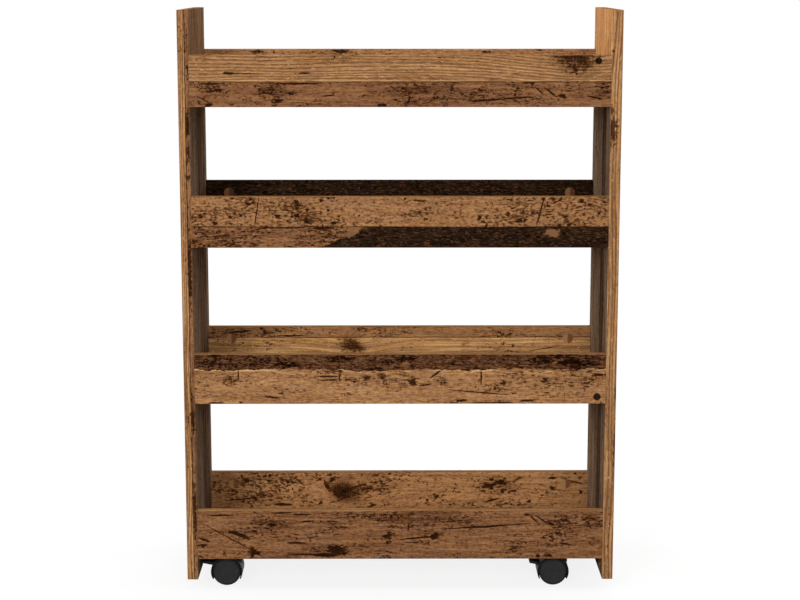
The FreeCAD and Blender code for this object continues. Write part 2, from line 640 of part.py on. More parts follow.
def caster(label, side, row, braked):
    """One twin-wheel caster on its plate, standing with its wheels to the left of its swivel."""
    across, deep = f"{side} * Layout.swivel_x", f"{row} * Layout.swivel_y"
    axle_x = f"{across} - Sizes.trail"
    caster_plate(label + "_plate", across, deep)
    node(upright(label + "_pin", "Sizes.kingpin_radius", "Sizes.kingpin_length + Sizes.plate_thickness",
                 across, deep, "Layout.plate_bottom - Sizes.kingpin_length"), label + "_swivel_pin")
    hood(label + "_hood", across, deep, braked)
    node(cross_pin(label + "_rod", "Sizes.axle_radius", "Layout.axle_half", axle_x, deep,
                   "Sizes.wheel_radius"), label + "_axle")
    wheel(label + "_near_wheel", axle_x, deep, -1)
    wheel(label + "_far_wheel", axle_x, deep, 1)
    if braked:
        node(cross_pin(label + "_brake_rod", "Sizes.brake_pin_radius", "Layout.web_half",
                       f"{axle_x} - Sizes.brake_pin_back", deep,
                       "Sizes.wheel_radius + Sizes.brake_pin_rise"), label + "_brake_pin")
        brake_lever(label + "_brake_lever", axle_x, deep)


def build():
    """Make every sub-part of the cart."""
    side_panel("left_side_panel", -1)
    side_panel("right_side_panel", 1)
    for tier in TIERS:
        shelf(f"{tier}_shelf", tier)
        rail(f"{tier}_front_rail", tier, True)
        rail(f"{tier}_back_rail", tier, False)
    frame_fasteners()
    for row_name, row in (("front", -1), ("back", 1)):
        for side_name, side in (("left", -1), ("right", 1)):
            caster(f"{row_name}_{side_name}_caster", side, row, row < 0)
    caster_screws()
    doc.recompute()


def write_parts():
    """Check every object of the document, then write one file for each sub-part."""
    for item in doc.Objects:
        if "Invalid" in item.State or "Error" in item.State:
            raise RuntimeError(f"{item.Label} failed: {item.State}")
    for item in NODES:
        if item.Shape.isNull() or not item.Shape.isValid():
            raise RuntimeError(f"{item.Label} has no valid shape")
    os.makedirs("parts", exist_ok=True)
    for item in NODES:
        item.Shape.exportStep(f"parts/{item.Label}.step")
    print(len(NODES), "sub-parts written")


build()
write_parts()
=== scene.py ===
"""The looks of a rolling storage cart: old-wood boards, cover caps, fittings and twin-wheel casters."""

import math
from statistics import NormalDist
from typing import NamedTuple

import bmesh
import bpy
import numpy as np
from mathutils import Color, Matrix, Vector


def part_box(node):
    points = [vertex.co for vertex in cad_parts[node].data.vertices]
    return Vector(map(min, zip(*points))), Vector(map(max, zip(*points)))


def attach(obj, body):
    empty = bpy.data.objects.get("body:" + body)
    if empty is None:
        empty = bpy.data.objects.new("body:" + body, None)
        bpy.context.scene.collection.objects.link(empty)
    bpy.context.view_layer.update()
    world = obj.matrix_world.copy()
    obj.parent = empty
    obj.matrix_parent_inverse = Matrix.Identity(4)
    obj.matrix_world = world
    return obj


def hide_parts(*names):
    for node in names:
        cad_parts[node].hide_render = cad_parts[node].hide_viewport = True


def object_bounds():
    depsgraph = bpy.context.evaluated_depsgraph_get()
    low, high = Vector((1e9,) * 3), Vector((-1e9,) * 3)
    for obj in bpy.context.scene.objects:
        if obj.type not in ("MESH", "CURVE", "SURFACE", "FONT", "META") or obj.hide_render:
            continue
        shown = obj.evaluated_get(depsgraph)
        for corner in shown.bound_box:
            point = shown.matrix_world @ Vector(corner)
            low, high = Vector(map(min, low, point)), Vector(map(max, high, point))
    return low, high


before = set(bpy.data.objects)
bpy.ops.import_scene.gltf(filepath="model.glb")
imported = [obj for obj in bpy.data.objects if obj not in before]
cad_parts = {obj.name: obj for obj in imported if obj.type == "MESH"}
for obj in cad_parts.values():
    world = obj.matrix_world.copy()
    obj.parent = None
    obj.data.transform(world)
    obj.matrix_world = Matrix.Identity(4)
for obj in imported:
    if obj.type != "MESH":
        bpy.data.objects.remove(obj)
CAD_BOX = [list(corner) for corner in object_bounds()]

bl_info = {
    "name": "Rolling Storage Cart",
    "version": (1, 0, 0),
    "blender": (4, 5, 0),
    "location": "3D View > Sidebar > Cart",
    "description": "Finishes the boards, fittings and casters of a rolling storage cart",
    "category": "Object",
}

MM = 0.001
TIERS = ("bottom", "lower", "upper", "top")
CASTERS = ("front_left", "front_right", "back_left", "back_right")
BRAKED = CASTERS[:2]
ALONG, ACROSS, UP = 0, 1, 2


def box_mm(node):
    """Lowest and highest corner of a node in millimetres."""
    return [np.array(corner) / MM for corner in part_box(node)]


WHEEL_SIZE = np.ptp(box_mm("front_left_caster_near_wheel"), axis=0) * MM
BOARD = float(np.ptp(box_mm("left_side_panel"), axis=0)[ALONG])


# Sizes and colours that a user would change

LENGTH = {"subtype": "DISTANCE", "unit": "LENGTH"}
ANGLE = {"subtype": "ANGLE", "unit": "ROTATION"}
SHARE = {"subtype": "FACTOR", "min": 0.0, "max": 1.0}
WATTS = {"unit": "POWER", "min": 0.0}
PLAIN = {"min": 0.0}


def amount(name, description, default, kind):
    """A number property of one of the kinds above."""
    return bpy.props.FloatProperty(name=name, description=description, default=default, **kind)


def tone(name, description, screen):
    """A colour property whose default is given as it shows on a screen, from 0 to 255."""
    return bpy.props.FloatVectorProperty(
        name=name, description=description, subtype="COLOR_GAMMA", size=3, min=0.0, max=1.0,
        default=[level / 255 for level in screen])


class CartDecor(bpy.types.PropertyGroup):
    """The tones of the old-wood decor."""

    pine: tone("Pine", "Golden planks with growth rings", (156, 114, 75))
    honey: tone("Honey", "Golden planks with faint rings", (190, 144, 93))
    russet: tone("Russet", "Reddish scratched planks", (127, 86, 56))
    worm_tan: tone("Worm tan", "Tan planks with worm holes", (146, 103, 67))
    char: tone("Char", "Nearly black planks", (34, 22, 14))
    umber: tone("Umber", "Dark mottled planks", (77, 49, 31))
    sawn: tone("Sawn", "Tan planks with saw marks", (154, 110, 72))
    ochre: tone("Ochre", "Speckled ochre planks", (168, 121, 78))
    grey: tone("Grey", "Weathered grey-brown planks", (121, 96, 75))
    ash: tone("Ash", "Pale grey-brown planks", (134, 108, 85))
    drab: tone("Drab", "Plain brown planks", (109, 81, 58))
    walnut: tone("Walnut", "Dark grey-brown planks", (92, 69, 52))
    amber: tone("Amber", "Orange planks", (200, 145, 94))
    band: tone("Edge band", "Bands along the board edges", (162, 119, 78))
    burn: tone("Burn", "Tint of worn places over the tone below", (129, 113, 102))
    mark: tone("Mark", "Cracks, nail holes and burnt marks", (24, 13, 7))
    chip: tone("Chip", "Splintered pale spots", (143, 100, 67))
    lip: tone("Lip", "Pale splintered edges along the seams", (206, 164, 114))
    cap_light: tone("Cap light", "Lighter half of a cover cap", (174, 130, 89))
    cap_dark: tone("Cap dark", "Darker half of a cover cap", (128, 84, 53))
    # Painted shade: this grey multiplies the caps on the upper back rail, standing in for the shade they
    # lie in
    cap_painted_shade: tone("Cap dim", "Tint of the caps on the nearly black rail", (194, 194, 194))
    gloss: amount("Gloss", "Share of light that the decor mirrors", 0.0, SHARE)
    emboss: amount("Emboss", "Depth of the grain pressed into the decor", 0.0002, LENGTH)


class CartFittingTones(bpy.types.PropertyGroup):
    """The colours of the fittings."""

    zinc: tone("Zinc", "Cam locks", (168, 171, 173))
    steel: tone("Steel", "Bolts, screws, plates, pins and axles", (158, 158, 161))
    beech_dark: tone("Beech dark", "Darker grain of the dowels", (189, 143, 97))
    beech_light: tone("Beech light", "Lighter grain of the dowels", (219, 184, 138))


class CartCasters(bpy.types.PropertyGroup):
    """The sizes and colours of the casters."""

    wheel_radius: amount("Wheel radius", "Axle to tread", float(WHEEL_SIZE[UP]) / 2, LENGTH)
    wheel_width: amount("Wheel width", "Width of one wheel", float(WHEEL_SIZE[ACROSS]), LENGTH)
    shoulder: amount("Shoulder", "Rounding from the tread to the disc", 0.0016, LENGTH)
    dish: amount("Dish", "Hollow of the disc", 0.0004, LENGTH)
    groove: amount("Groove", "Depth of the ring between tread and disc", 0.0005, LENGTH)
    disc: tone("Disc", "Face of a wheel", (36, 36, 37))
    tread: tone("Tread", "Running surface of a wheel", (18, 18, 19))
    hood: tone("Hood", "Hood and brake lever", (22, 22, 23))


class CartStage(bpy.types.PropertyGroup):
    """The camera and the light."""

    camera_x: amount("Camera across", "Camera from the middle of the cart", -0.0104, LENGTH)
    camera_y: amount("Camera away", "Camera in front of the middle of the cart", 2.640, LENGTH)
    camera_z: amount("Camera height", "Camera above the floor", 0.855, LENGTH)
    pitch: amount("Pitch", "Camera below the horizon", math.radians(9.855), ANGLE)
    yaw: amount("Yaw", "Camera to the right", math.radians(0.231), ANGLE)
    lens: amount("Lens", "Focal length in millimetres", 83.99, PLAIN)
    sky: amount("Sky", "Light from all round", 0.12, PLAIN)
    key: amount("Key lamp", "Power of the lamp in front on the left", 64.0, WATTS)
    fill: amount("Fill lamp", "Power of the lamp in front on the right", 42.0, WATTS)
    side: amount("Side lamps", "Power of the lamps on the left and right", 70.0, WATTS)
    back: amount("Back lamp", "Power of the lamp behind", 85.0, WATTS)
    top: amount("Top lamp", "Power of the lamp above", 42.0, WATTS)
    shadow: amount("Shadow", "Share of the shadow that the floor keeps", 0.14, SHARE)


# Shader maths


def linear(screen):
    """A screen colour as the four linear numbers of a colour socket."""
    return (*Color(screen).from_srgb_to_scene_linear(), 1.0)


def grey_level(level):
    """A grey or white as the four linear numbers of a colour socket."""
    return (level, level, level, 1.0)


def shaded(screen, factor):
    """A screen colour made darker or lighter."""
    return [min(level * factor, 1.0) for level in screen]


class Wire:
    """A socket that takes part in Python expressions, each of which adds a Math node."""

    def __init__(self, graph, socket):
        self.graph = graph
        self.socket = socket

    def __add__(self, other):
        return self.graph.math("ADD", self, other)

    def __sub__(self, other):
        return self.graph.math("SUBTRACT", self, other)

    def __rsub__(self, other):
        return self.graph.math("SUBTRACT", other, self)

    def __mul__(self, other):
        return self.graph.math("MULTIPLY", self, other)

    def __abs__(self):
        return self.graph.math("ABSOLUTE", self)

    __radd__ = __add__
    __rmul__ = __mul__


class Graph:
    """The node tree of one material or of the world."""

    # The Mix node's sockets for colours
    MIX_FACTOR, MIX_FIRST, MIX_SECOND, MIX_RESULT = 0, 6, 7, 2
    # A noise's mean, the spread of one octave, and how far its usual scores reach
    NOISE_MEAN, OCTAVE_SPREAD, SCORE_REACH = 0.5, 0.137, 2.0
    # How far a seed moves a noise along each axis
    SEED_SHIFT = (1.0, 1.7, 0.3)

    def __init__(self, owner):
        owner.use_nodes = True
        self.owner = owner
        self.tree = owner.node_tree
        self.tree.nodes.clear()

    def node(self, kind, settings=None, inputs=None, out=0):
        """Adds a node of that kind: its settings first, then the values or links of its sockets."""
        made = self.tree.nodes.new(kind)
        for name, value in (settings or {}).items():
            if name == "stops":
                self.set_stops(made.color_ramp, value)
            else:
                setattr(made, name, value)
        for key, value in (inputs or {}).items():
            if isinstance(value, Wire):
                self.tree.links.new(value.socket, made.inputs[key])
            else:
                made.inputs[key].default_value = value
        return Wire(self, made.outputs[out]) if len(made.outputs) else made

    @staticmethod
    def set_stops(ramp, stops):
        """Gives a colour ramp its stops, as pairs of place and colour."""
        while len(ramp.elements) < len(stops):
            ramp.elements.new(1.0)
        for element, (place, colour) in zip(ramp.elements, stops):
            element.position = place
            element.color = colour

    def output(self, wire, out):
        """Another output of the node that a wire comes from."""
        return Wire(self, wire.socket.node.outputs[out])

    def math(self, operation, *values):
        """A Math node on up to three values."""
        return self.node("ShaderNodeMath", {"operation": operation}, dict(enumerate(values)))

    def highest(self, first, second):
        """The higher of two values."""
        return self.math("MAXIMUM", first, second)

    def smooth(self, value, low, high):
        """A soft step from 0 at low to 1 at high, or from 1 to 0 where high is the smaller."""
        return self.node("ShaderNodeMapRange", {"interpolation_type": "SMOOTHSTEP"},
                         {"Value": value, "From Min": low, "From Max": high})

    def part(self, score):
        """A noise's score as a part from 0 to 1, which its usual scores fill."""
        return self.smooth(score, -self.SCORE_REACH, self.SCORE_REACH)

    def mix(self, factor, first, second, blend="MIX"):
        """One colour over another."""
        return self.node("ShaderNodeMix", {"data_type": "RGBA", "blend_type": blend},
                         {self.MIX_FACTOR: factor, self.MIX_FIRST: first, self.MIX_SECOND: second},
                         self.MIX_RESULT)

    def stretched(self, spot, lumps, seed=0.0):
        """A place on the surface in units of the given lengths, shifted by a seed."""
        scale = (*(1 / item for item in lumps), 1.0)[:3]
        shift = [seed * part for part in self.SEED_SHIFT]
        return self.node("ShaderNodeMapping", None, {"Vector": spot, "Location": shift, "Scale": scale})

    def noise(self, spot, lumps, seed=0.0, detail=3, roughness=0.55):
        """Noise whose lumps have the given lengths, as a score: 0 on average, with a spread of 1.

        The octaves' heights fall by the roughness, so the spread of their mean is known."""
        octaves = roughness ** np.arange(detail + 1)
        spread = self.OCTAVE_SPREAD * float(np.linalg.norm(octaves) / octaves.sum())
        raw = self.node("ShaderNodeTexNoise", None,
                        {"Vector": self.stretched(spot, lumps, seed), "Scale": 1.0,
                         "Detail": float(detail), "Roughness": roughness})
        return self.math("MULTIPLY_ADD", raw, 1 / spread, -self.NOISE_MEAN / spread)

    def separate(self, vector):
        """The three parts of a vector."""
        first = self.node("ShaderNodeSeparateXYZ", None, {"Vector": vector})
        return [self.output(first, index) for index in range(3)]

    def combine(self, *parts):
        """A vector from its parts."""
        return self.node("ShaderNodeCombineXYZ", None, dict(enumerate(parts)))

    def place(self):
        """The place on the piece in millimetres, as a vector and as its three parts."""
        spot = self.node("ShaderNodeTexCoord", out="Object")
        scaled = self.node("ShaderNodeVectorMath", {"operation": "SCALE"}, {0: spot, "Scale": 1 / MM})
        return scaled, self.separate(scaled)

    def surface(self, colour, roughness, height, depth, constants=None):
        """Ends the material in a Principled shader with a bump of that height and depth."""
        bump = self.node("ShaderNodeBump", None, {"Height": height, "Distance": depth})
        inputs = {"Base Color": colour, "Roughness": roughness, "Normal": bump, **(constants or {})}
        shader = self.node("ShaderNodeBsdfPrincipled", None, inputs)
        self.node("ShaderNodeOutputMaterial", None, {"Surface": shader})
        return self.owner


def new_graph(name):
    """The empty node tree of a new material."""
    return Graph(bpy.data.materials.new(name))


def coat(material, *nodes):
    """Gives nodes of the frame a material."""
    for name in nodes:
        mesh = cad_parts[name].data
        mesh.materials.clear()
        mesh.materials.append(material)


# The old-wood decor


class Look(NamedTuple):
    """How one kind of plank looks.

    The first three weigh the noises in its tone, the swing is how far one spread of them takes the tone
    down, and the lift how much of that it goes up. Scratches, flecks and checks are the part of the
    surface that they darken, and depth is how dark. Sparks are the part with pale dashes, and the gleam
    is how much lighter these are. Pits are the part of the cells that hold a worm hole. Rings are a
    strength, with their spacing in mm."""

    streaks: float
    fibres: float
    mottle: float
    swing: float
    rings: float = 0.0
    spacing: float = 4.3
    scratches: float = 0.02
    flecks: float = 0.02
    checks: float = 0.0
    depth: float = 0.62
    lift: float = 0.8
    sparks: float = 0.05
    gleam: float = 1.2
    pits: float = 0.0


WEATHERED = Look(1.0, 0.5, 0.2, 0.2, scratches=0.05)

LOOKS = {
    "pine": Look(0.5, 0.6, 0.2, 0.12, rings=2.9, scratches=0.012, flecks=0.006, lift=1.1, gleam=1.28),
    "band": Look(0.6, 0.25, 0.2, 0.13, rings=3.1, scratches=0.012, flecks=0.006),
    "honey": Look(0.9, 0.4, 0.2, 0.12, rings=1.6, spacing=7.0, flecks=0.01),
    "russet": Look(0.6, 0.6, 0.5, 0.16, scratches=0.06, flecks=0.035, checks=0.02, gleam=1.25),
    "worm_tan": Look(0.35, 0.5, 0.6, 0.13, scratches=0.05, flecks=0.09, depth=0.42, pits=0.28),
    "char": Look(0.5, 0.9, 0.4, 0.34, sparks=0.15, gleam=2.6),
    "umber": Look(0.6, 0.7, 0.8, 0.26, scratches=0.08, flecks=0.07, depth=0.68, sparks=0.14, gleam=1.8),
    "sawn": Look(0.4, 0.7, 0.4, 0.14, scratches=0.06, flecks=0.03, checks=0.05),
    "ochre": Look(0.4, 0.5, 0.4, 0.14, scratches=0.05, flecks=0.07, depth=0.48, pits=0.2),
    "grey": WEATHERED,
    "ash": WEATHERED,
    "drab": WEATHERED,
    "walnut": Look(1.0, 0.4, 0.3, 0.26, scratches=0.07),
    "amber": Look(0.9, 0.5, 0.3, 0.15, scratches=0.035, flecks=0.015),
}


class Texture(NamedTuple):
    """One noise of the print: its lumps along and across the grain in mm, and its octaves.

    The shift is what it adds to the board's seed."""

    lumps: tuple
    shift: int
    detail: int = 3
    roughness: float = 0.55


TEXTURES = {
    "sway": Texture((240, 60), 0, 1),
    "ripple": Texture((45, 7), 1, 2),
    "streak": Texture((110, 5), 2, 5, 0.62),
    "fibre": Texture((13, 1.3), 3, 5, 0.6),
    "fleck": Texture((4.8, 3.1), 5),
    "scratch": Texture((11, 1.5), 7, 4, 0.65),
    "check": Texture((1.3, 9), 9, 2),
    "warp_along": Texture((6, 4), 11),
    "warp_across": Texture((8, 3), 13),
    "gather": Texture((60, 24), 15),
    "crowding": Texture((500, 11), 17, 1),
    "scallop": Texture((22, 40), 19, 1),
    "dash": Texture((6, 1.4), 21, 3, 0.6),
    "hue": Texture((34, 9), 23, 2),
}


class Stroke(NamedTuple):
    """How marks of one kind are drawn: how frayed and soft their rims are, how dark they are, and how
    much of the fibres shows in them."""

    fray: float
    soft: float
    dark: float
    fibres: float


BLOT = Stroke(0.1, 0.7, 0.74, 0.07)
CRACK = Stroke(0.03, 0.5, 0.74, 0.07)
EDGE_MARK = Stroke(0.12, 0.8, 0.62, 0.08)


class Plank(NamedTuple):
    """One printed plank: its look and the edges, in mm, past which it starts.

    The lean slants its left edge. The lip is how strong a pale splintered line shows above the seam, or
    below it where that is negative."""

    look: str
    above: float = None
    right_of: float = None
    ragged: float = 0.1
    lean: float = 0.0
    lip: float = 0.0


class Decor(NamedTuple):
    """The print on a board. Marks are (along, across, length, width, tilt in degrees), in mm.

    Stains are smudged and worn, and worn places only have more wear. The edges have a band of their own
    look, with a russet strip that reaches this far behind the face, and marks whose place across is behind
    the face too. The far side of the board shows the stretch of the print that lies that much further
    across."""

    planks: tuple
    seed: float
    marks: tuple = ()
    stains: tuple = ()
    worn: tuple = ()
    knots: tuple = ()
    chips: tuple = ()
    holes: tuple = ()
    strip: float = 0.0
    edge: str = "band"
    edge_marks: tuple = ()
    far_side: float = 0.0


# How far the grain sways and ripples, and the warps shift marks along and across, in mm
SWAY, RIPPLE = 2.0, 0.6
RAGGED, STEADY, RAGGED_EDGE = (1.0, 0.7), (0.2, 0.14), (1.0, 0.4)
# An ellipse's soft margin as a part of it, and the length over width from which a mark is a crack
MARK_MARGIN, CRACK_RATIO = 0.7, 5.0
# A knot bends the grain by this many mm, over this many times its size
KNOT_BEND, KNOT_REACH = 11.0, 3.2
KNOT_RIM, KNOT_FRAY, KNOT_DARK = 0.85, 0.1, 0.7
KNOT_STREAKS, KNOT_CHECKS, KNOT_DASHES = 0.06, 0.08, 0.06
# Scores that patches, stains and worn places add to the wear, and their rims as parts of the depth
GATHER, STAIN_BOOST, WORN_BOOST = 0.5, 0.95, 0.8
STAIN_RIM, WORN_RIM, STAIN_SHADE = 0.7, 0.5, 1.1
WEAR_SPREAD = math.hypot(1.0, GATHER)
WEAR_SOFT, SPARK_SOFT, SPARK_PART, CHECK_DARK = 0.5, 0.3, 0.8, 0.6
RING_CROWDING, RING_FADE, RING_SHARPNESS = 1.3, 0.3, 3.0
RAMP_REACH = 2.5
# Worm holes: their cells in mm, and their sizes as parts of a cell
PIT_CELL = (7.0, 5.2)
PIT_RADIUS, PIT_RIM, PIT_GATHER, PIT_DARK = 0.34, 0.2, 0.14, 0.76
CHIP_FRAY, CHIP_SOFT, CHIP_PART = 0.08, 0.3, 0.7
HOLE_SOFT, HOLE_PART = 0.15, 0.95
# Seams in mm: the softness of plank edges, the dark lines on them and the pale splinters beside them
SEAM_SOFT, END_SOFT, SEAM_WARP, END_WARP, STRIP_WARP = 0.4, 2.0, 0.5, 4.0, 0.15
SEAM_LINE, STRIP_LINE, LIP_LINE, LIP_PLACE = (1.1, 0.2), (0.9, 0.2), (1.5, 0.5), 1.9
SEAM_DARK, STRIP_DARK = 0.75, 0.7
# Scores of the streaks over which a seam and its splinters come up
SEAM_FADE, LIP_FADE = (-2.5, 1.0), (-1.2, 0.4)
# Darkness over which a place goes to burnt brown and to ink
BURN_RANGE, INK_RANGE = (0.0, 0.6), (0.45, 1.0)
COOL_TINT, WARM_TINT = (0.957, 0.973, 1.053, 1.0), (1.043, 1.027, 0.947, 1.0)
WEATHERING = (0.83, 1.05, 1.21)
# Where the band gives way to a face, and one face to the other, in mm from the middle or the far face
EDGE_RIM, FAR_RIM = (0.1, 0.4), (1.1, 0.5)
PRINT_ROUGHNESS, FIBRE_SHINE, WEAR_ROUGHNESS, FIBRE_RELIEF = 0.62, 0.03, 0.12, 0.2


def depths(graph, spot, marks):
    """How deep a place lies in tilted ellipses: 1 in the middle of one and 0 from its margin outwards."""
    # One Mapping makes the spot a point, which spares a conversion for each mark's own Mapping
    spot = graph.stretched(spot, (1.0, 1.0))
    reach = 0.5 * (1.0 + MARK_MARGIN)
    deepest = None
    for along, across, length, width, tilt in marks:
        local = graph.node("ShaderNodeMapping", {"vector_type": "TEXTURE"},
                           {"Vector": spot, "Location": (along, across, 0.0),
                            "Rotation": (0.0, 0.0, math.radians(tilt)),
                            "Scale": (length * reach, width * reach, 1.0)})
        depth = graph.node("ShaderNodeTexGradient", {"gradient_type": "SPHERICAL"},
                           {"Vector": local}, "Fac")
        deepest = depth if deepest is None else graph.highest(deepest, depth)
    return deepest


def inside(graph, depth, soft):
    """1 inside the ellipses that a depth belongs to, with a soft rim between the middle and the margin."""
    rim = MARK_MARGIN / (1.0 + MARK_MARGIN)
    return graph.smooth(depth, rim * (1.0 - soft), rim * (1.0 + soft))


class Grain:
    """The noises that all planks of one board share, and the wear, which gathers in patches and stains."""

    def __init__(self, graph, along, across, decor):
        self.graph, self.along, self.across, self.seed = graph, along, across, decor.seed
        self.flat = graph.combine(along, across)
        self.flow = across + self.noise("sway") * SWAY
        self.knot = None
        if decor.knots:
            self.knot = depths(graph, self.flat, decor.knots)
            bends = [(x, y, length * KNOT_REACH, width * KNOT_REACH, tilt)
                     for x, y, length, width, tilt in decor.knots]
            self.flow = self.flow + graph.smooth(depths(graph, self.flat, bends), 0.0, 1.0) * KNOT_BEND
        bent = graph.combine(along, self.flow + self.noise("ripple") * RIPPLE)
        self.crowding = self.noise("crowding")
        self.scallop = self.noise("scallop")
        self.streak = self.noise("streak", bent)
        self.fibre = self.noise("fibre", bent)
        self.dash = self.noise("dash", bent)
        self.fleck = self.noise("fleck")
        self.warp_along = self.noise("warp_along")
        self.warp_across = self.noise("warp_across")
        self.ragged = self.warped(across, RAGGED)
        self.steady = self.warped(across, STEADY)
        gather = self.noise("gather") * GATHER
        self.stain = None
        if decor.stains:
            self.stain = graph.smooth(depths(graph, self.flat, decor.stains), 0.0, STAIN_RIM)
            gather = gather + self.stain * STAIN_BOOST
        if decor.worn:
            rubbed = graph.smooth(depths(graph, self.flat, decor.worn), 0.0, WORN_RIM)
            gather = gather + rubbed * WORN_BOOST
        self.scratches = self.noise("scratch", bent) + gather
        self.flecks = self.fleck + gather
        self.checks = self.noise("check") + gather
        self.cell = graph.node("ShaderNodeTexVoronoi", {"voronoi_dimensions": "2D"},
                               {"Vector": graph.stretched(self.ragged, PIT_CELL, self.seed), "Scale": 1.0})
        self.luck = graph.separate(graph.output(self.cell, "Color"))[0] + gather * PIT_GATHER

    def noise(self, name, spot=None):
        """One of the textures, on the flat print or on a spot of its own."""
        texture = TEXTURES[name]
        return self.graph.noise(spot or self.flat, texture.lumps, self.seed + texture.shift,
                                texture.detail, texture.roughness)

    def warped(self, across, reach):
        """A place shifted by the warps, by their reach along and across."""
        return self.graph.combine(self.along + self.warp_along * reach[0],
                                  across + self.warp_across * reach[1])


def cover(graph, score, part, spread=1.0, soft=WEAR_SOFT):
    """Where a noise is high enough to cover about that part of the surface."""
    level = NormalDist(0.0, spread).inv_cdf(1.0 - part)
    return graph.smooth(score, level - soft, level + soft)


def ring_lines(grain, spacing):
    """Thin lines along the grain's flow: a sine raised to a power, crowded here and there."""
    graph = grain.graph
    turn = grain.flow * (math.tau / spacing) + grain.crowding * RING_CROWDING
    wave = graph.math("SINE", turn) * 0.5 + 0.5
    return graph.math("POWER", wave, RING_SHARPNESS) * (grain.streak * RING_FADE + 1.0)


def aged(screen, factor):
    """A wood tone made darker and redder, or lighter and yellower."""
    return [min(level * factor ** power, 1.0) for level, power in zip(screen, WEATHERING)]


def tone_ramp(graph, level, screen, swing, lift):
    """A colour that gets darker or lighter with a score."""
    reach = RAMP_REACH * swing
    stops = [(0.0, linear(aged(screen, 1.0 - reach))), (0.5, linear(screen)),
             (1.0, linear(aged(screen, 1.0 + reach * lift)))]
    return graph.node("ShaderNodeValToRGB", {"stops": stops},
                      {"Fac": graph.math("MULTIPLY_ADD", level, 0.5 / RAMP_REACH, 0.5)})


def worm_holes(grain, part):
    """Round holes in that part of the cells: each reaches as far as its cell's luck allows."""
    reach = (grain.luck - (1.0 - part)) * (PIT_RADIUS / part)
    return grain.graph.smooth(reach - grain.cell, 0.0, PIT_RIM)


def plank_print(grain, look, screen):
    """Colour and darkness of one plank: a ramp over streaks, fibres, mottle and rings, under its wear."""
    graph = grain.graph
    whole = math.hypot(look.streaks, look.fibres, look.mottle)
    level = grain.streak * (look.streaks / whole) + grain.fibre * (look.fibres / whole)
    level = level - grain.fleck * (look.mottle / whole)
    if look.rings:
        level = level - ring_lines(grain, look.spacing) * look.rings
    if grain.stain is not None:
        level = level - grain.stain * STAIN_SHADE
    colour = tone_ramp(graph, level, screen, look.swing, look.lift)
    dashes = cover(graph, grain.dash, look.sparks, soft=SPARK_SOFT)
    colour = graph.mix(dashes * SPARK_PART, colour, linear(shaded(screen, look.gleam)))
    darkness = graph.highest(cover(graph, grain.scratches, look.scratches, WEAR_SPREAD),
                             cover(graph, grain.flecks, look.flecks, WEAR_SPREAD))
    if look.checks:
        checks = cover(graph, grain.checks, look.checks, WEAR_SPREAD)
        darkness = graph.highest(darkness, checks * CHECK_DARK)
    darkness = darkness * look.depth
    if look.pits:
        darkness = graph.highest(darkness, worm_holes(grain, look.pits) * PIT_DARK)
    return colour, darkness


def plank_area(grain, plank):
    """1 on the plank, with ragged edges, and how far past its seam a place lies."""
    graph = grain.graph
    area, past = None, None
    if plank.above is not None:
        past = grain.across + grain.warp_across * (plank.ragged * SEAM_WARP)
        past = past + grain.scallop * plank.ragged - plank.above
        area = graph.smooth(past, -SEAM_SOFT, SEAM_SOFT)
    if plank.right_of is not None:
        start = grain.along - grain.across * plank.lean
        start = start + grain.warp_along * (plank.ragged * END_WARP) - plank.right_of
        right = graph.smooth(start, -END_SOFT, END_SOFT)
        area = right if area is None else area * right
    return area, past


def laid_over(graph, area, below, above):
    """Colour and darkness of one print over another where the area is 1."""
    return (graph.mix(area, below[0], above[0]),
            graph.math("MULTIPLY_ADD", area, above[1] - below[1], below[1]))


def inked(graph, colour, darkness, tones):
    """A colour with its dark places on it: burnt brown where they are faint and ink where they are deep."""
    burnt = graph.mix(graph.smooth(darkness, *BURN_RANGE), colour, linear(tones.burn), "MULTIPLY")
    return graph.mix(graph.smooth(darkness, *INK_RANGE), burnt, linear(tones.mark))


def drawn(grain, spot, marks, stroke):
    """Darkness of marks of one kind: their ellipses, frayed by the flecks, with fibres in them."""
    depth = depths(grain.graph, spot, marks) + grain.fleck * stroke.fray
    return inside(grain.graph, depth, stroke.soft) * (grain.fibre * stroke.fibres + stroke.dark)


def planks_print(grain, decor, tones):
    """Colour and darkness of a board's planks and the seams between them."""
    graph = grain.graph
    prints = [plank_print(grain, LOOKS[plank.look], getattr(tones, plank.look)) for plank in decor.planks]
    colour, darkness = prints[0]
    for plank, own in zip(decor.planks[1:], prints[1:]):
        area, past = plank_area(grain, plank)
        colour, darkness = laid_over(graph, area, (colour, darkness), own)
        if past is not None:
            seam = graph.smooth(abs(past), *SEAM_LINE) * graph.smooth(grain.streak, *SEAM_FADE)
            darkness = graph.highest(darkness, seam * SEAM_DARK)
        if plank.lip:
            beside = abs(past - math.copysign(LIP_PLACE, plank.lip))
            pale = graph.smooth(beside, *LIP_LINE) * graph.smooth(grain.streak, *LIP_FADE)
            colour = graph.mix(pale * abs(plank.lip), colour, linear(tones.lip))
    return colour, darkness


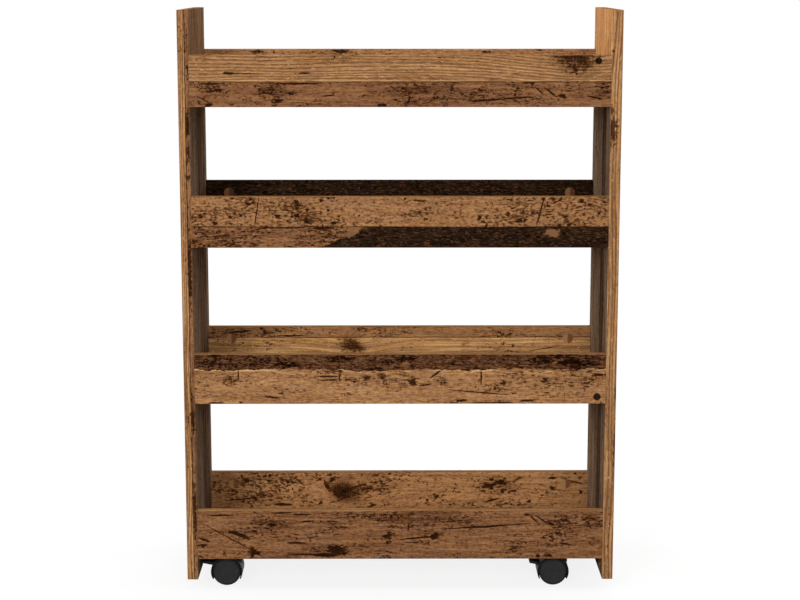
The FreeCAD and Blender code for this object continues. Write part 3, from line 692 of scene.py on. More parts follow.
def board_print(grain, decor, tones):
    """The whole print of a board: its planks, knots, marks, chips and nail holes."""
    graph = grain.graph
    colour, darkness = planks_print(grain, decor, tones)
    if grain.knot is not None:
        frayed = grain.knot + grain.fibre * KNOT_FRAY - grain.fleck * KNOT_FRAY
        strokes = grain.streak * KNOT_STREAKS + grain.checks * KNOT_CHECKS - grain.dash * KNOT_DASHES
        heart = graph.smooth(frayed, 0.0, KNOT_RIM) * (strokes + KNOT_DARK)
        darkness = graph.highest(darkness, heart)
    blots = [mark for mark in decor.marks if mark[2] < CRACK_RATIO * mark[3]]
    cracks = [mark for mark in decor.marks if mark not in blots]
    for marks, spot, stroke in ((blots, grain.ragged, BLOT), (cracks, grain.steady, CRACK)):
        if marks:
            darkness = graph.highest(darkness, drawn(grain, spot, marks, stroke))
    colour = inked(graph, colour, darkness, tones)
    if decor.chips:
        depth = depths(graph, grain.ragged, decor.chips) + grain.fleck * CHIP_FRAY
        colour = graph.mix(inside(graph, depth, CHIP_SOFT) * CHIP_PART, colour, linear(tones.chip))
    if decor.holes:
        hole = inside(graph, depths(graph, grain.flat, decor.holes), HOLE_SOFT)
        colour = graph.mix(hole * HOLE_PART, colour, linear(tones.mark))
        darkness = graph.highest(darkness, hole)
    return colour, darkness


def edge_band(grain, decor, tones, behind):
    """Colour of the band along a board's edge, with its russet strip and marks."""
    graph = grain.graph
    colour, darkness = plank_print(grain, LOOKS[decor.edge], getattr(tones, decor.edge))
    if decor.strip:
        russet = plank_print(grain, LOOKS["russet"], tones.russet)
        past = decor.strip - behind + grain.warp_across * STRIP_WARP
        area = graph.smooth(past, -SEAM_SOFT, SEAM_SOFT)
        colour, darkness = laid_over(graph, area, (colour, darkness), russet)
        darkness = graph.highest(darkness, graph.smooth(abs(past), *STRIP_LINE) * STRIP_DARK)
    if decor.edge_marks:
        marks = drawn(grain, grain.warped(behind, RAGGED_EDGE), decor.edge_marks, EDGE_MARK)
        darkness = graph.highest(darkness, marks)
    return inked(graph, colour, darkness, tones)


def print_board(node, decor, tones, along_axis, face_axis, face_side):
    """Prints the decor on a board. The grain runs along one axis; the print is flat on the board's face
    and folds over its edges. A side of -1 puts the print's place on the face with the lower coordinate."""
    graph = new_graph(node + "_print")
    _, place = graph.place()
    low, high = box_mm(node)
    across_axis = 3 - along_axis - face_axis
    face = low[face_axis] if face_side < 0 else high[face_axis]
    middle = (low[face_axis] + high[face_axis]) / 2
    fold = place[face_axis] - float(face)
    along = place[along_axis] - (0.0 if along_axis == ALONG else float(low[along_axis]))
    across = place[across_axis] - float(low[across_axis]) + fold
    if decor.far_side:
        far = graph.smooth(abs(fold), *(BOARD - rim for rim in FAR_RIM))
        across = across + far * decor.far_side
    grain = Grain(graph, along, across, decor)
    colour, darkness = board_print(grain, decor, tones)
    on_edge = graph.smooth(abs(place[face_axis] - float(middle)), *(BOARD / 2 - rim for rim in EDGE_RIM))
    colour = graph.mix(on_edge, colour, edge_band(grain, decor, tones, abs(fold)))
    tint = graph.mix(graph.part(grain.noise("hue")), COOL_TINT, WARM_TINT)
    colour = graph.mix(1.0, colour, tint, "MULTIPLY")
    roughness = PRINT_ROUGHNESS - grain.fibre * FIBRE_SHINE + darkness * WEAR_ROUGHNESS
    height = grain.fibre * FIBRE_RELIEF - darkness
    coat(graph.surface(colour, roughness, height, tones.emboss, {"Specular IOR Level": tones.gloss}), node)


TOP_FRONT = Decor(
    planks=(Plank("russet"), Plank("pine", above=34.0, lip=0.4)),
    seed=4.0,
    marks=((-233, 45.8, 12, 2.8, 0), (-210, 45.2, 44, 1.3, -1), (-129, 45.8, 17, 2.4, 0),
           (-255, 31.5, 34, 2.2, 0), (-140, 31.6, 62, 2.4, 0), (-166, 8, 16, 8, 15),
           (-148, 19, 13, 4, 0), (-98, 15.5, 16, 2.2, 5), (-265, 10, 21, 1.5, -28), (-258, 3, 11, 5, 0),
           (-25, 2.5, 11, 4, 0), (118, 9.5, 54, 2.8, 3.5), (160, 12.5, 48, 2.4, 4),
           (188, 22, 15, 2.2, -42), (203, 20, 25, 2.2, -38), (219, 14.5, 10, 5, -20), (178, 32, 7, 4, 0),
           (263, 13, 22, 2.6, -10), (12, 10, 13, 2.6, 75), (226, 66, 13, 6, -40), (242, 63, 9, 14, 10),
           (236, 53, 4, 15, 15), (250, 64, 4, 15, -12)),
    stains=((-172, 20, 34, 20, 0), (40, 20, 130, 26, 0), (275, 22, 18, 20, 0), (-255, 24, 34, 10, 0)),
    knots=((236, 69, 54, 42, -10),),
    holes=((267.5, 62.3, 9.4, 9.4, 0),),
)

UPPER_FRONT = Decor(
    planks=(Plank("russet"), Plank("char", right_of=-111.0, lean=2.26, ragged=0.7),
            Plank("worm_tan", above=29.0)),
    seed=21.0,
    marks=((-195.6, 50, 41, 1.9, 81), (191.5, 50, 42, 2.6, 75), (203, 50, 10, 1.7, 0),
           (203, 46, 9, 1.7, 0), (199, 53, 7, 1.7, 10), (-139.5, 60, 9, 5.5, -20), (-142, 65, 6, 4, 0),
           (-168.7, 44, 9, 4.4, -10), (-205, 61, 12, 3.8, 20), (-252, 35, 7, 7, 0),
           (-271, 43.5, 8, 3.4, 0), (-140, 43, 9, 4.4, 0), (-130, 38, 8, 5.5, 0), (-106, 65, 6, 4, 0),
           (-228, 68, 7, 3.4, 0), (163, 38, 10, 5.5, 0), (171, 38, 6, 4.4, 0), (109, 41, 8, 6, 30),
           (115, 36, 6, 4.4, -30), (209, 68, 8, 4.4, 0), (215, 64, 15, 2, 25), (246, 65, 6, 5.5, -40),
           (28, 64.5, 20, 2.4, 0), (150, 66, 11, 4.4, 0), (-106, 27, 28, 4, 0),
           (-165, 27.4, 66, 2.2, 0)),
    stains=((83, 57, 24, 4, 80), (-132, 45, 34, 20, -20)),
    worn=((-205, 48, 150, 44, 0), (200, 46, 130, 40, 0), (-195, 14, 190, 30, 0)),
    chips=((208, 20.5, 21, 11, -8), (-64, 20.5, 22, 6, 35)),
)

LOWER_FRONT = Decor(
    planks=(Plank("sawn"), Plank("umber", above=49.0, ragged=1.0, lip=-1.0)),
    seed=37.0,
    marks=((-224, 41, 16, 2, 88), (-100, 39, 30, 2.6, 0), (-100, 34, 26, 2.2, 0), (-84, 38, 3, 12, 0),
           (-45, 38, 11, 6, 60), (-178, 9.6, 21, 2.8, -5), (-165, 15, 7, 3.2, 0), (-222, 2.5, 5, 4, 0),
           (-256, 1.5, 22, 2.4, 0), (17, 30, 12, 8.5, -15), (35, 27, 19, 2.4, 10), (49, 42, 19, 2.8, 35),
           (112.6, 37, 17, 2.4, 88), (202, 33.5, 8, 5.5, 90), (143, 30, 8, 4.4, 0), (275, 41, 17, 5, 0),
           (266, 38, 9, 3, 90), (113, 16, 84, 1.9, -5), (86, 5, 15, 3.2, 20), (176, 4.6, 21, 3.2, 4),
           (74, 1.5, 7, 3, 0), (130, 1.5, 62, 1.9, 0)),
    worn=((-25, 58, 64, 18, 0), (215, 62, 60, 12, 0), (-200, 59, 34, 12, 0), (-262, 56, 32, 12, 0)),
    stains=((-157, 57, 26, 8, 0), (-85, 62, 28, 9, 0), (8, 65, 26, 8, 0), (76, 58, 20, 7, 0),
            (100, 51, 16, 8, 0), (57, 33, 16, 12, 0), (-26, 41, 10, 9, 0), (-235, 34, 20, 14, 0),
            (250, 56, 50, 14, 0)),
    chips=((8, 57, 11, 4.4, 10),),
    holes=((273.4, 9.9, 10.4, 10.4, 0),),
)

BOTTOM_FRONT = Decor(
    planks=(Plank("russet"),),
    seed=52.0,
    marks=((-245, 33.5, 80, 1.6, -29.6), (-227, 36, 31, 5.4, -21), (-204, 11, 20, 7, -35),
           (-207, 9, 12, 8, 60), (-89, 13, 30, 14, -8), (-104, 6, 34, 6, 0), (-146, 23.6, 30, 2.8, 0),
           (-133, 7, 48, 2.4, 0), (-275, 28, 17, 3.4, -20), (-278, 20, 9, 5, 0), (-16, 34, 17, 8, 25),
           (-17, 24, 9, 3.4, 0), (28, 31, 58, 2.4, 5.5), (48.5, 33, 13, 9, 20), (15, 24.5, 22, 1.5, 0),
           (12, 47, 13, 2.4, 80), (120, 47.5, 130, 2.2, 3.5), (115, 46.6, 62, 3.2, 3),
           (188, 58, 16, 2.4, -45), (199, 57, 26, 2.2, -35), (211, 51, 10, 6, -15),
           (178.6, 64.5, 8, 4.4, 0), (205, 34, 13, 2.8, 30), (213, 31, 9, 3.2, -40),
           (232, 22, 15, 2.8, -10), (209, 5, 11, 5, 0), (194, 4, 7, 5, 0), (-166, 67.5, 30, 2.2, 0),
           (-250, 64, 36, 2.4, 0), (-138, 65, 26, 2.2, 0), (-180, 50, 13, 6, 0), (-130, 55, 17, 2.6, 5)),
    stains=((40, 58, 110, 24, 0), (-175, 52, 50, 16, 0), (-120, 16, 30, 12, 0), (270, 54, 24, 18, 0)),
    worn=((250, 44, 60, 40, 0), (150, 26, 50, 22, 0)),
)

TOP_BACK = Decor(
    planks=(Plank("russet"), Plank("sawn", above=38.0)),
    seed=64.6,
    marks=((-207, 66, 17, 4, 0), (-86, 67, 23, 5, 0), (126, 66, 15, 4, 0), (203, 69, 6, 3, 0)),
    stains=((-100, 64, 60, 10, 0),),
)

UPPER_BACK = Decor(
    planks=(Plank("char"), Plank("char", above=36.0)),
    seed=71.0, edge="char",
)

LOWER_BACK = Decor(
    planks=(Plank("honey"), Plank("sawn", above=54.5)),
    seed=83.0,
    marks=((-238, 63, 37, 3.4, 5), (-200.6, 60.8, 7, 6, 90), (-206, 68, 5, 4, 0), (-162, 57, 42, 2.4, 0),
           (-73, 47, 19, 4, -20), (-62, 40, 20, 4, -10), (-77, 40, 12, 3.4, 15), (-56, 36, 10, 3, -5),
           (215, 37, 42, 1.5, 10)),
    stains=((-230, 62, 60, 10, 0), (98, 42, 12, 12, 0)),
    knots=((-72, 43, 36, 22, -15),),
)

BOTTOM_BACK = Decor(
    planks=(Plank("ochre"),),
    seed=97.0,
    marks=((-241, 28.7, 42, 2.6, 6), (-177, 20.6, 30, 4.4, 0), (-102, 58, 17, 8, 35),
           (-108, 48, 16, 8, -60), (-96, 38, 26, 8, -50), (-72, 46, 20, 3.4, 10), (-60, 50, 22, 3, 15),
           (-66, 38, 16, 3, -20), (136, 49, 25, 4.4, 12), (152, 54, 22, 5.5, 0), (157, 42, 9, 6, 0),
           (172, 42, 8, 4.4, 20), (57, 33, 12, 2.6, -20), (140, 27, 26, 3, 14), (180, 60, 13, 3, 20),
           (262, 56, 34, 1.9, -14), (232, 62, 9, 5, 0), (232, 46, 10, 6, -30), (196, 25, 10, 4, 0),
           (275, 40, 6, 6, 0), (-84, 34, 22, 4, -12), (-80, 41, 19, 4, 14), (-88, 29, 17, 4, 25),
           (-50, 45, 20, 2.6, 8)),
    stains=((-70, 44, 62, 36, 0), (-30, 48, 48, 24, 0), (148, 50, 60, 20, 0)),
    worn=((-215, 48, 130, 40, 0),),
    knots=((-84, 40, 42, 26, -20),),
)

LEFT_PANEL = Decor(
    planks=(Plank("grey"), Plank("walnut", above=104.0), Plank("grey", above=188.0),
            Plank("drab", right_of=700.0), Plank("sawn", above=232.0), Plank("russet", above=281.0),
            Plank("pine", above=352.0, lip=0.4), Plank("char", above=404.0),
            Plank("worm_tan", above=428.0)),
    seed=113.0, far_side=240.0, strip=5.3,
    edge_marks=((100, 3, 80, 5, 0), (240, 3, 54, 4.4, 0), (438, 3.2, 96, 5.4, 0), (570, 3, 6, 7, 0),
                (600, 2.5, 22, 4.4, 0), (640, 2.5, 38, 5.4, 0), (715, 1.5, 15, 3.6, 0)),
    marks=((690, 30, 60, 3, 2), (430, 84, 90, 2.4, -1), (200, 140, 70, 3, 1), (610, 262, 70, 2.2, 3),
           (330, 258, 24, 3, 80), (150, 270, 16, 8, 20), (705, 320, 40, 7, 6), (520, 300, 120, 2.4, -2),
           (260, 335, 60, 2.8, 4), (90, 310, 22, 9, 15), (420, 385, 90, 1.8, 1), (640, 372, 50, 2, -1),
           (560, 445, 12, 7, 30), (230, 440, 9, 6, 0), (480, 436, 14, 5, -30)),
    stains=((560, 310, 150, 30, 0), (140, 318, 120, 26, 0), (300, 440, 110, 24, 0)),
    holes=((742, 262, 9.5, 9.5, 0), (62, 300, 9.0, 9.0, 0)),
)

RIGHT_PANEL = Decor(
    planks=(Plank("ash"), Plank("walnut", above=52.0), Plank("ash", above=92.0),
            Plank("amber", right_of=700.0), Plank("worm_tan", above=232.0),
            Plank("umber", above=296.0, ragged=0.4, lip=-0.5), Plank("honey", above=338.0),
            Plank("russet", above=398.0)),
    seed=127.0, far_side=240.0,
    edge_marks=((190, 14, 60, 3, 0), (267, 14, 18, 2.8, 0), (635, 2, 44, 15, 0), (663, 1.5, 8, 5, 0),
                (740, 1, 7, 5, 0)),
    marks=((745, 46, 22, 3, 0), (300, 30, 60, 2.4, 1), (660, 270, 60, 2, 82), (410, 262, 12, 7, 20),
           (180, 280, 14, 6, -30), (540, 284, 10, 6, 0), (590, 316, 120, 12, 0), (220, 320, 90, 10, 0),
           (450, 366, 130, 1.8, 1), (300, 380, 80, 1.8, -2), (700, 372, 40, 8, 4),
           (620, 425, 90, 2.6, 3), (350, 412, 30, 9, 10), (120, 430, 70, 2.4, -4),
           (520, 440, 40, 3, 20)),
    stains=((420, 262, 130, 36, 0), (150, 270, 90, 30, 0), (560, 428, 160, 26, 0),
            (220, 424, 110, 24, 0)),
    holes=((70, 366, 9.5, 9.5, 0), (735, 440, 9.0, 9.0, 0)),
)

TRAY_FLOOR = Decor(
    planks=(Plank("honey"), Plank("ochre", above=70.0), Plank("sawn", above=132.0)),
    seed=141.0,
)

FRONT_RAILS = (BOTTOM_FRONT, LOWER_FRONT, UPPER_FRONT, TOP_FRONT)
BACK_RAILS = (BOTTOM_BACK, LOWER_BACK, UPPER_BACK, TOP_BACK)
FLOOR_SEED_STEP = 20


class CartSidePanels(bpy.types.Operator):
    """Print the decor on the two side panels, with the grain upright"""

    bl_idname = "cart.side_panels"
    bl_label = "Side Panels"

    def execute(self, context):
        tones = context.scene.cart_decor
        print_board("left_side_panel", LEFT_PANEL, tones, UP, ALONG, 1)
        print_board("right_side_panel", RIGHT_PANEL, tones, UP, ALONG, -1)
        return {"FINISHED"}


class CartRails(bpy.types.Operator):
    """Print the decor on the front and back rails, a different stretch of it on each"""

    bl_idname = "cart.rails"
    bl_label = "Rails"

    def execute(self, context):
        for row, decors in (("front", FRONT_RAILS), ("back", BACK_RAILS)):
            for tier, decor in zip(TIERS, decors):
                print_board(f"{tier}_{row}_rail", decor, context.scene.cart_decor, ALONG, ACROSS, -1)
        return {"FINISHED"}


class CartTrayFloors(bpy.types.Operator):
    """Print the decor on the tray floors"""

    bl_idname = "cart.tray_floors"
    bl_label = "Tray Floors"

    def execute(self, context):
        for index, tier in enumerate(TIERS):
            decor = TRAY_FLOOR._replace(seed=TRAY_FLOOR.seed + FLOOR_SEED_STEP * index)
            print_board(f"{tier}_shelf", decor, context.scene.cart_decor, ALONG, UP, 1)
        return {"FINISHED"}


# Cover caps, in mm: their radius, their fibres, and how frayed and blurred the line between halves is
CAP_RADIUS = 7.5
CAP_FIBRE = (12, 2, 0.8)
CAP_FRAY, CAP_BLUR, CAP_RELIEF = 0.5, 1.2, 0.3


class CartCoverCaps(bpy.types.Operator):
    """Finish the round caps over the cam locks, each light on the left and dark on the right; those on the
    upper back rail are darkened further by painted shade
    """

    bl_idname = "cart.cover_caps"
    bl_label = "Cover Caps"

    def execute(self, context):
        tones = context.scene.cart_decor
        graph = new_graph("cap_print")
        spot, place = graph.place()
        fibre = graph.noise(spot, CAP_FIBRE, seed=5.0)
        middle = float(np.ptp(box_mm("rail_cam_caps"), axis=0)[ALONG]) / 2 - CAP_RADIUS
        right = place[ALONG] - graph.math("SIGN", place[ALONG]) * middle
        left_half = graph.smooth(right + fibre * CAP_FRAY, CAP_BLUR, -CAP_BLUR)
        colour = graph.mix(left_half, linear(tones.cap_dark), linear(tones.cap_light))
        # Painted shade: the caps at the height of the upper back rail are darkened, standing in for the
        # shade that falls there
        low, high = (float(corner[UP]) for corner in box_mm("upper_back_rail"))
        upper_rail_painted_shade = graph.math("COMPARE", place[UP], (low + high) / 2, (high - low) / 2)
        colour = graph.mix(upper_rail_painted_shade, colour, linear(tones.cap_painted_shade), "MULTIPLY")
        material = graph.surface(colour, PRINT_ROUGHNESS - fibre * FIBRE_SHINE, fibre * CAP_RELIEF,
                                 tones.emboss, {"Specular IOR Level": tones.gloss})
        coat(material, "rail_cam_caps")
        return {"FINISHED"}


# Fittings: the patches of their noises in mm, and their bumps in metres
SCRATCH_RATIO = 6
DULL_PATCH = (6, 6, 6)
PORES = (0.5, 6, 6)
METAL_BUMP, PORE_BUMP = 0.00004, 0.0001
METAL_WEAR = (0.72, 1.0)
DULL_ROUGHNESS, PORE_ROUGHNESS, BEECH_ROUGHNESS = 0.04, 0.03, 0.65
NOISE_RELIEF = 0.3


def worn_tone(graph, score, screen, wear):
    """A screen colour that goes from its darker to its lighter shade with a noise's score."""
    darker, lighter = (linear(shaded(screen, factor)) for factor in wear)
    return graph.mix(graph.part(score), darker, lighter)


def metal(name, screen, scratch_mm, roughness):
    """Bare metal with fine scratches and slight dulling."""
    graph = new_graph(name)
    spot, _ = graph.place()
    across_mm = scratch_mm / SCRATCH_RATIO
    scratch = graph.noise(spot, (scratch_mm, across_mm, across_mm), seed=3.0, detail=5)
    dull = graph.noise(spot, DULL_PATCH, seed=8.0, detail=4)
    return graph.surface(worn_tone(graph, dull, screen, METAL_WEAR), dull * DULL_ROUGHNESS + roughness,
                         scratch * NOISE_RELIEF, METAL_BUMP, {"Metallic": 1.0})


def beech(tones):
    """Turned beech with fine pores along the dowels."""
    graph = new_graph("beech_pin")
    spot, _ = graph.place()
    pores = graph.noise(spot, PORES, seed=4.0, detail=4)
    colour = graph.mix(graph.part(pores), linear(tones.beech_dark), linear(tones.beech_light))
    return graph.surface(colour, BEECH_ROUGHNESS - pores * PORE_ROUGHNESS, pores * NOISE_RELIEF, PORE_BUMP)


class CartFittings(bpy.types.Operator):
    """Finish the cam locks, bolts, screws, plates, pins and dowels"""

    bl_idname = "cart.fittings"
    bl_label = "Fittings"

    def execute(self, context):
        tones = context.scene.cart_fittings
        zinc = metal("zinc_casting", tones.zinc, scratch_mm=2.0, roughness=0.48)
        steel = metal("bright_steel", tones.steel, scratch_mm=3.0, roughness=0.36)
        coat(zinc, "rail_cam_locks", "shelf_cam_locks")
        coat(beech(tones), "rail_dowels", "shelf_dowels")
        coat(steel, "rail_cam_bolts", "shelf_cam_bolts", "caster_screws")
        for caster in CASTERS:
            coat(steel, *(f"{caster}_caster_{piece}" for piece in ("plate", "swivel_pin", "axle")))
        coat(steel, *(f"{caster}_caster_brake_pin" for caster in BRAKED))
        return {"FINISHED"}


# Plastic: its pebbles and scuffs in mm, its bump in metres, and its shades
PEBBLE = (0.5, 0.5, 0.5)
HOOD_SCUFF, WHEEL_SCUFF = (14, 14, 5), (8, 8, 8)
HOOD_WEAR, DISC_WEAR = (0.87, 1.13), (0.9, 1.1)
PEBBLE_BUMP = 0.00005
PLASTIC_GLOSS, PLASTIC_ROUGHNESS, SCUFF_ROUGHNESS = 0.12, 0.5, 0.05
# Wheels, in metres: the hub and its bore, the wall, and the steps beside the tread
HUB_RADIUS, BORE_RADIUS, BORE_FLOOR = 0.005, 0.00255, 0.002
WALL, TREAD_LIP = 0.003, 0.0006
RING_INSET, RING_HALF, DISC_INSET, TREAD_FADE = 0.0004, 0.0005, 0.0001, 0.0009
TURN_STEPS, LIP_STEPS, SHOULDER_STEPS, DISC_STEPS = 96, 5, 9, 12
MERGE_DISTANCE = 1e-7
SHARP_ANGLE = math.radians(34)


def moulded(name, scuff_mm, paint):
    """Moulded plastic: a fine pebbled skin with faint scuffs, in the colour that paint gives these."""
    graph = new_graph(name)
    spot, _ = graph.place()
    pebble = graph.noise(spot, PEBBLE, seed=1.0, detail=2)
    scuff = graph.noise(spot, scuff_mm, seed=6.0, detail=6, roughness=0.7)
    return graph.surface(paint(graph, scuff), scuff * SCUFF_ROUGHNESS + PLASTIC_ROUGHNESS,
                         pebble * NOISE_RELIEF, PEBBLE_BUMP, {"Specular IOR Level": PLASTIC_GLOSS})


def wheel_material(sizes):
    """Dark grey disc and black tread, told apart by their distance from the axle, kept in an attribute."""
    def paint(graph, scuff):
        reach = graph.node("ShaderNodeAttribute", {"attribute_name": "reach"}, out="Fac")
        tread_edge = sizes.wheel_radius - sizes.shoulder
        tread = graph.smooth(reach, tread_edge - TREAD_FADE, tread_edge)
        return graph.mix(tread, worn_tone(graph, scuff, sizes.disc, DISC_WEAR), linear(sizes.tread))

    return moulded("moulded_wheel", WHEEL_SCUFF, paint)


def arc(centre, radius, start, end, steps):
    """Points on an arc: centre plus radius times cosine and sine, from start to end in degrees."""
    turn = np.radians(np.linspace(start, end, steps))
    return np.stack([centre[0] + radius * np.cos(turn), centre[1] + radius * np.sin(turn)], axis=1)


def wheel_profile(sizes):
    """Outline of a wheel's wall as (axial, radial) points in metres, from the bore's end to the face.

    The axial place is 0 at the web and the wheel's width at the face. The tread meets the face in a
    quarter circle, a shallow ring parts tread and disc, and the disc is a parabola, hollow to its dish."""
    width, radius, shoulder = sizes.wheel_width, sizes.wheel_radius, sizes.shoulder
    bore_end, web, rim, disc = width - BORE_FLOOR, width - WALL, radius - WALL, width - DISC_INSET
    ring = radius - shoulder - RING_INSET
    hollow = [(bore_end, 0.0), (bore_end, BORE_RADIUS), (0.0, BORE_RADIUS), (0.0, HUB_RADIUS),
              (web, HUB_RADIUS), (web, rim), (0.0, rim)]
    lip_arc = arc((TREAD_LIP, radius - TREAD_LIP), TREAD_LIP, 180, 90, LIP_STEPS)
    shoulder_arc = arc((width - shoulder, radius - shoulder), shoulder, 90, 0, SHOULDER_STEPS)
    groove = [(width, ring), (width - sizes.groove, ring - RING_HALF), (disc, ring - 2 * RING_HALF)]
    reach = np.linspace(ring - 2 * RING_HALF, 0.0, DISC_STEPS)[1:]
    face = np.stack([disc - sizes.dish * (1 - (reach / ring) ** 2), reach], axis=1)
    return np.concatenate([hollow, lip_arc, shoulder_arc, groove, face])


def turned_mesh(name, profile, centre, side):
    """A profile carried round the Y axis: x = r cos a, z = r sin a, y = the axial place times the side.

    The grid of points closes on itself round the axis, and its poles are merged."""
    turn = np.linspace(0.0, math.tau, TURN_STEPS, endpoint=False)
    axial, radial = profile[:, 0], profile[:, 1]
    points = np.stack([
        centre[0] + np.outer(radial, np.cos(turn)),
        centre[1] + side * np.outer(axial, np.ones(TURN_STEPS)),
        centre[2] + np.outer(radial, np.sin(turn))], axis=-1)
    index = np.arange(points[..., 0].size).reshape(points.shape[:2])
    after = np.roll(index, -1, axis=1)
    quads = np.stack([index[:-1], index[1:], after[1:], after[:-1]], axis=-1)
    mesh = bpy.data.meshes.new(name)
    mesh.from_pydata(points.reshape(-1, 3).tolist(), [], quads.reshape(-1, 4).tolist())
    merged = bmesh.new()
    merged.from_mesh(mesh)
    bmesh.ops.remove_doubles(merged, verts=merged.verts, dist=MERGE_DISTANCE)
    bmesh.ops.recalc_face_normals(merged, faces=merged.faces)
    merged.to_mesh(mesh)
    merged.free()
    return mesh


def note_reach(mesh, centre):
    """Keeps each point's distance from the axle in the mesh's reach attribute."""
    points = np.empty(len(mesh.vertices) * 3, np.float32)
    mesh.vertices.foreach_get("co", points)
    apart = points.reshape(-1, 3) - centre.astype(np.float32)
    reach = mesh.attributes.new("reach", "FLOAT", "POINT")
    reach.data.foreach_set("value", np.hypot(apart[:, ALONG], apart[:, UP]))


def add_piece(name, mesh, material, body, node):
    """Puts a new piece into the scene in place of a node of the frame."""
    mesh.materials.append(material)
    mesh.shade_smooth()
    mesh.set_sharp_from_angle(angle=SHARP_ANGLE)
    piece = bpy.data.objects.new(name, mesh)
    bpy.context.scene.collection.objects.link(piece)
    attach(piece, body)
    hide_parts(node)


class CartWheels(bpy.types.Operator):
    """Turn the eight wheels with a rounded shoulder, a parting ring and a hollow disc"""

    bl_idname = "cart.wheels"
    bl_label = "Wheels"

    def execute(self, context):
        sizes = context.scene.cart_casters
        profile = wheel_profile(sizes)
        material = wheel_material(sizes)
        for caster in CASTERS:
            for part, side in (("near", -1), ("far", 1)):
                name, node = f"{caster}_{part}_wheel", f"{caster}_caster_{part}_wheel"
                centre = np.mean(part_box(node), axis=0)
                centre[ACROSS] -= side * sizes.wheel_width / 2
                mesh = turned_mesh(name, profile, centre, side)
                note_reach(mesh, centre)
                add_piece(name, mesh, material, name, node)
        return {"FINISHED"}


class CartHoods(bpy.types.Operator):
    """Finish the caster hoods and the brake levers in black moulded plastic"""

    bl_idname = "cart.hoods"
    bl_label = "Hoods and Brakes"

    def execute(self, context):
        screen = context.scene.cart_casters.hood
        plastic = moulded("moulded_black", HOOD_SCUFF,
                          lambda graph, scuff: worn_tone(graph, scuff, screen, HOOD_WEAR))
        coat(plastic, *(f"{caster}_caster_hood" for caster in CASTERS))
        coat(plastic, *(f"{caster}_caster_brake_lever" for caster in BRAKED))
        return {"FINISHED"}


# Stage: sizes in metres, and the strength of the floor's white, of the lamps on it and of its paint
FLOOR_HALF, FAR_CLIP = 40.0, 200.0
SHADOW_REACH = (1.6, 0.7)
FLOOR_WHITE, FLOOR_LIGHT, FLOOR_PAINT = 1.01, 1.2, 0.25
# Each lamp's place and size in metres, and the setting that holds its power
LAMPS = {
    "key_lamp": ((-1.3, -3.2, 1.4), 1.2, "key"),
    "fill_lamp": ((0.8, -3.3, 1.35), 1.2, "fill"),
    "left_lamp": ((-3.3, 0.3, 1.5), 2.2, "side"),
    "right_lamp": ((3.3, 0.3, 1.5), 2.2, "side"),
    "back_lamp": ((0.7, 3.2, 1.6), 2.4, "back"),
    "top_lamp": ((0.0, -0.4, 3.4), 1.8, "top"),
}


def seen_directly(graph):
    """1 for the rays that show the stage itself: from the camera, a mirror or glass."""
    path = graph.node("ShaderNodeLightPath", out="Is Camera Ray")
    mirrored = graph.highest(path, graph.output(path, "Is Glossy Ray"))
    return graph.highest(mirrored, graph.output(path, "Is Transmission Ray"))


def floor_material(shadow):
    """White floor that lights the cart as plain grey paint and keeps a share of its shadow.

    Round the cart it glows by what that share of the lamps' light leaves, and further off it is white."""
    graph = new_graph("white_floor")
    spot = graph.node("ShaderNodeTexCoord", out="Object")
    reach = graph.node("ShaderNodeVectorMath", {"operation": "LENGTH"}, {0: spot}, "Value")
    near = graph.smooth(reach, *SHADOW_REACH)
    paint = graph.node("ShaderNodeBsdfDiffuse", None, {"Color": grey_level(FLOOR_PAINT)})
    catch = graph.node("ShaderNodeBsdfDiffuse", None, {"Color": grey_level(shadow)})
    glow = graph.node("ShaderNodeEmission", None, {"Strength": FLOOR_WHITE - shadow * FLOOR_LIGHT})
    white = graph.node("ShaderNodeEmission", None, {"Strength": FLOOR_WHITE})
    around = graph.node("ShaderNodeAddShader", None, {0: catch, 1: glow})
    shown = graph.node("ShaderNodeMixShader", None, {0: near, 1: white, 2: around})
    both = graph.node("ShaderNodeMixShader", None, {0: seen_directly(graph), 1: paint, 2: shown})
    graph.node("ShaderNodeOutputMaterial", None, {"Surface": both})
    return graph.owner


def add_floor(scene, shadow):
    """A wide square floor under the cart."""
    corners = [(x * FLOOR_HALF, y * FLOOR_HALF, 0.0) for x, y in ((-1, -1), (1, -1), (1, 1), (-1, 1))]
    mesh = bpy.data.meshes.new("floor")
    mesh.from_pydata(corners, [], [(0, 1, 2, 3)])
    mesh.materials.append(floor_material(shadow))
    floor = bpy.data.objects.new("floor", mesh)
    scene.collection.objects.link(floor)


def add_lamp(scene, name, place, size, power):
    """A soft square lamp that faces the middle of the cart."""
    lamp = bpy.data.lights.new(name, "AREA")
    lamp.size = size
    lamp.energy = power
    holder = bpy.data.objects.new(name, lamp)
    scene.collection.objects.link(holder)
    away = np.array(place) - np.mean(CAD_BOX, axis=0)
    holder.location = place
    holder.rotation_euler = (math.atan2(math.hypot(away[0], away[1]), away[2]), 0.0,
                             math.atan2(away[0], -away[1]))


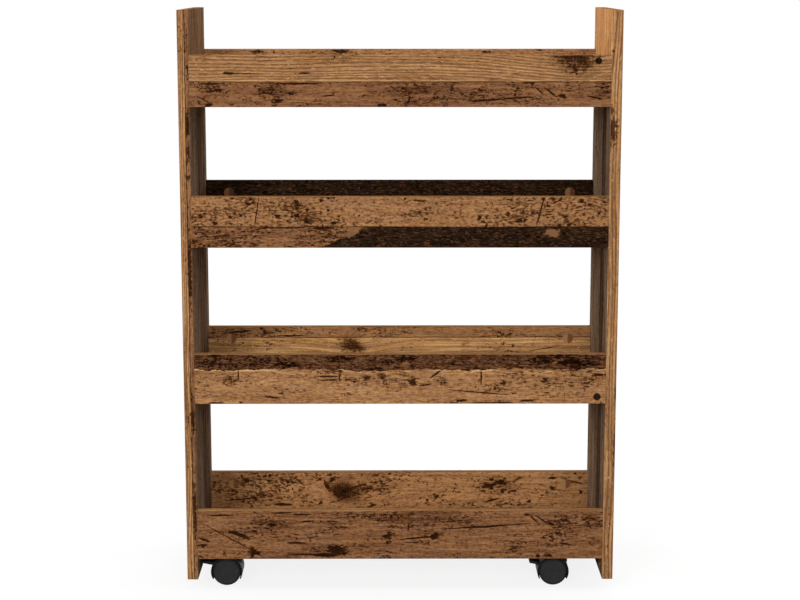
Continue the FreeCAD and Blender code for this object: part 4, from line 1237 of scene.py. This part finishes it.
class CartStageSetup(bpy.types.Operator):
    """Set up the floor, the soft light and the camera"""

    bl_idname = "cart.stage"
    bl_label = "Stage"

    def execute(self, context):
        scene = context.scene
        stage = scene.cart_stage
        add_floor(scene, stage.shadow)
        for name, (place, size, setting) in LAMPS.items():
            add_lamp(scene, name, place, size, getattr(stage, setting))

        scene.world = bpy.data.worlds.new("white_room")
        graph = Graph(scene.world)
        strength = seen_directly(graph) * (1.0 - stage.sky) + stage.sky
        sky = graph.node("ShaderNodeBackground", None, {"Color": grey_level(1.0), "Strength": strength})
        graph.node("ShaderNodeOutputWorld", None, {"Surface": sky})

        lens = bpy.data.cameras.new("camera")
        lens.lens = stage.lens
        lens.clip_end = FAR_CLIP
        camera = bpy.data.objects.new("camera", lens)
        camera.location = (stage.camera_x, -stage.camera_y, stage.camera_z)
        camera.rotation_euler = (math.pi / 2 - stage.pitch, 0.0, -stage.yaw)
        scene.collection.objects.link(camera)
        scene.camera = camera
        scene.view_settings.view_transform = "Standard"
        return {"FINISHED"}


OPERATORS = (CartSidePanels, CartRails, CartTrayFloors, CartCoverCaps, CartFittings, CartWheels, CartHoods,
             CartStageSetup)
SETTINGS = {"cart_decor": CartDecor, "cart_fittings": CartFittingTones, "cart_casters": CartCasters,
            "cart_stage": CartStage}


class CartPanel(bpy.types.Panel):
    """Lists the pieces of the cart and their settings"""

    bl_idname = "VIEW3D_PT_cart"
    bl_label = "Rolling Storage Cart"
    bl_space_type = "VIEW_3D"
    bl_region_type = "UI"
    bl_category = "Cart"

    def draw(self, context):
        for operator in OPERATORS:
            self.layout.operator(operator.bl_idname)
        for name in SETTINGS:
            group = getattr(context.scene, name)
            column = self.layout.column(align=True)
            for item in group.bl_rna.properties:
                if item.identifier not in ("rna_type", "name"):
                    column.prop(group, item.identifier)


def register():
    for cls in (*SETTINGS.values(), *OPERATORS, CartPanel):
        bpy.utils.register_class(cls)
    for name, cls in SETTINGS.items():
        setattr(bpy.types.Scene, name, bpy.props.PointerProperty(type=cls))


def unregister():
    for name in SETTINGS:
        delattr(bpy.types.Scene, name)
    for cls in reversed((*SETTINGS.values(), *OPERATORS, CartPanel)):
        bpy.utils.unregister_class(cls)


def main():
    """Registers the add-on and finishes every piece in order."""
    register()
    bpy.ops.cart.side_panels()
    bpy.ops.cart.rails()
    bpy.ops.cart.tray_floors()
    bpy.ops.cart.cover_caps()
    bpy.ops.cart.fittings()
    bpy.ops.cart.wheels()
    bpy.ops.cart.hoods()
    bpy.ops.cart.stage()


if __name__ == "__main__":
    main()
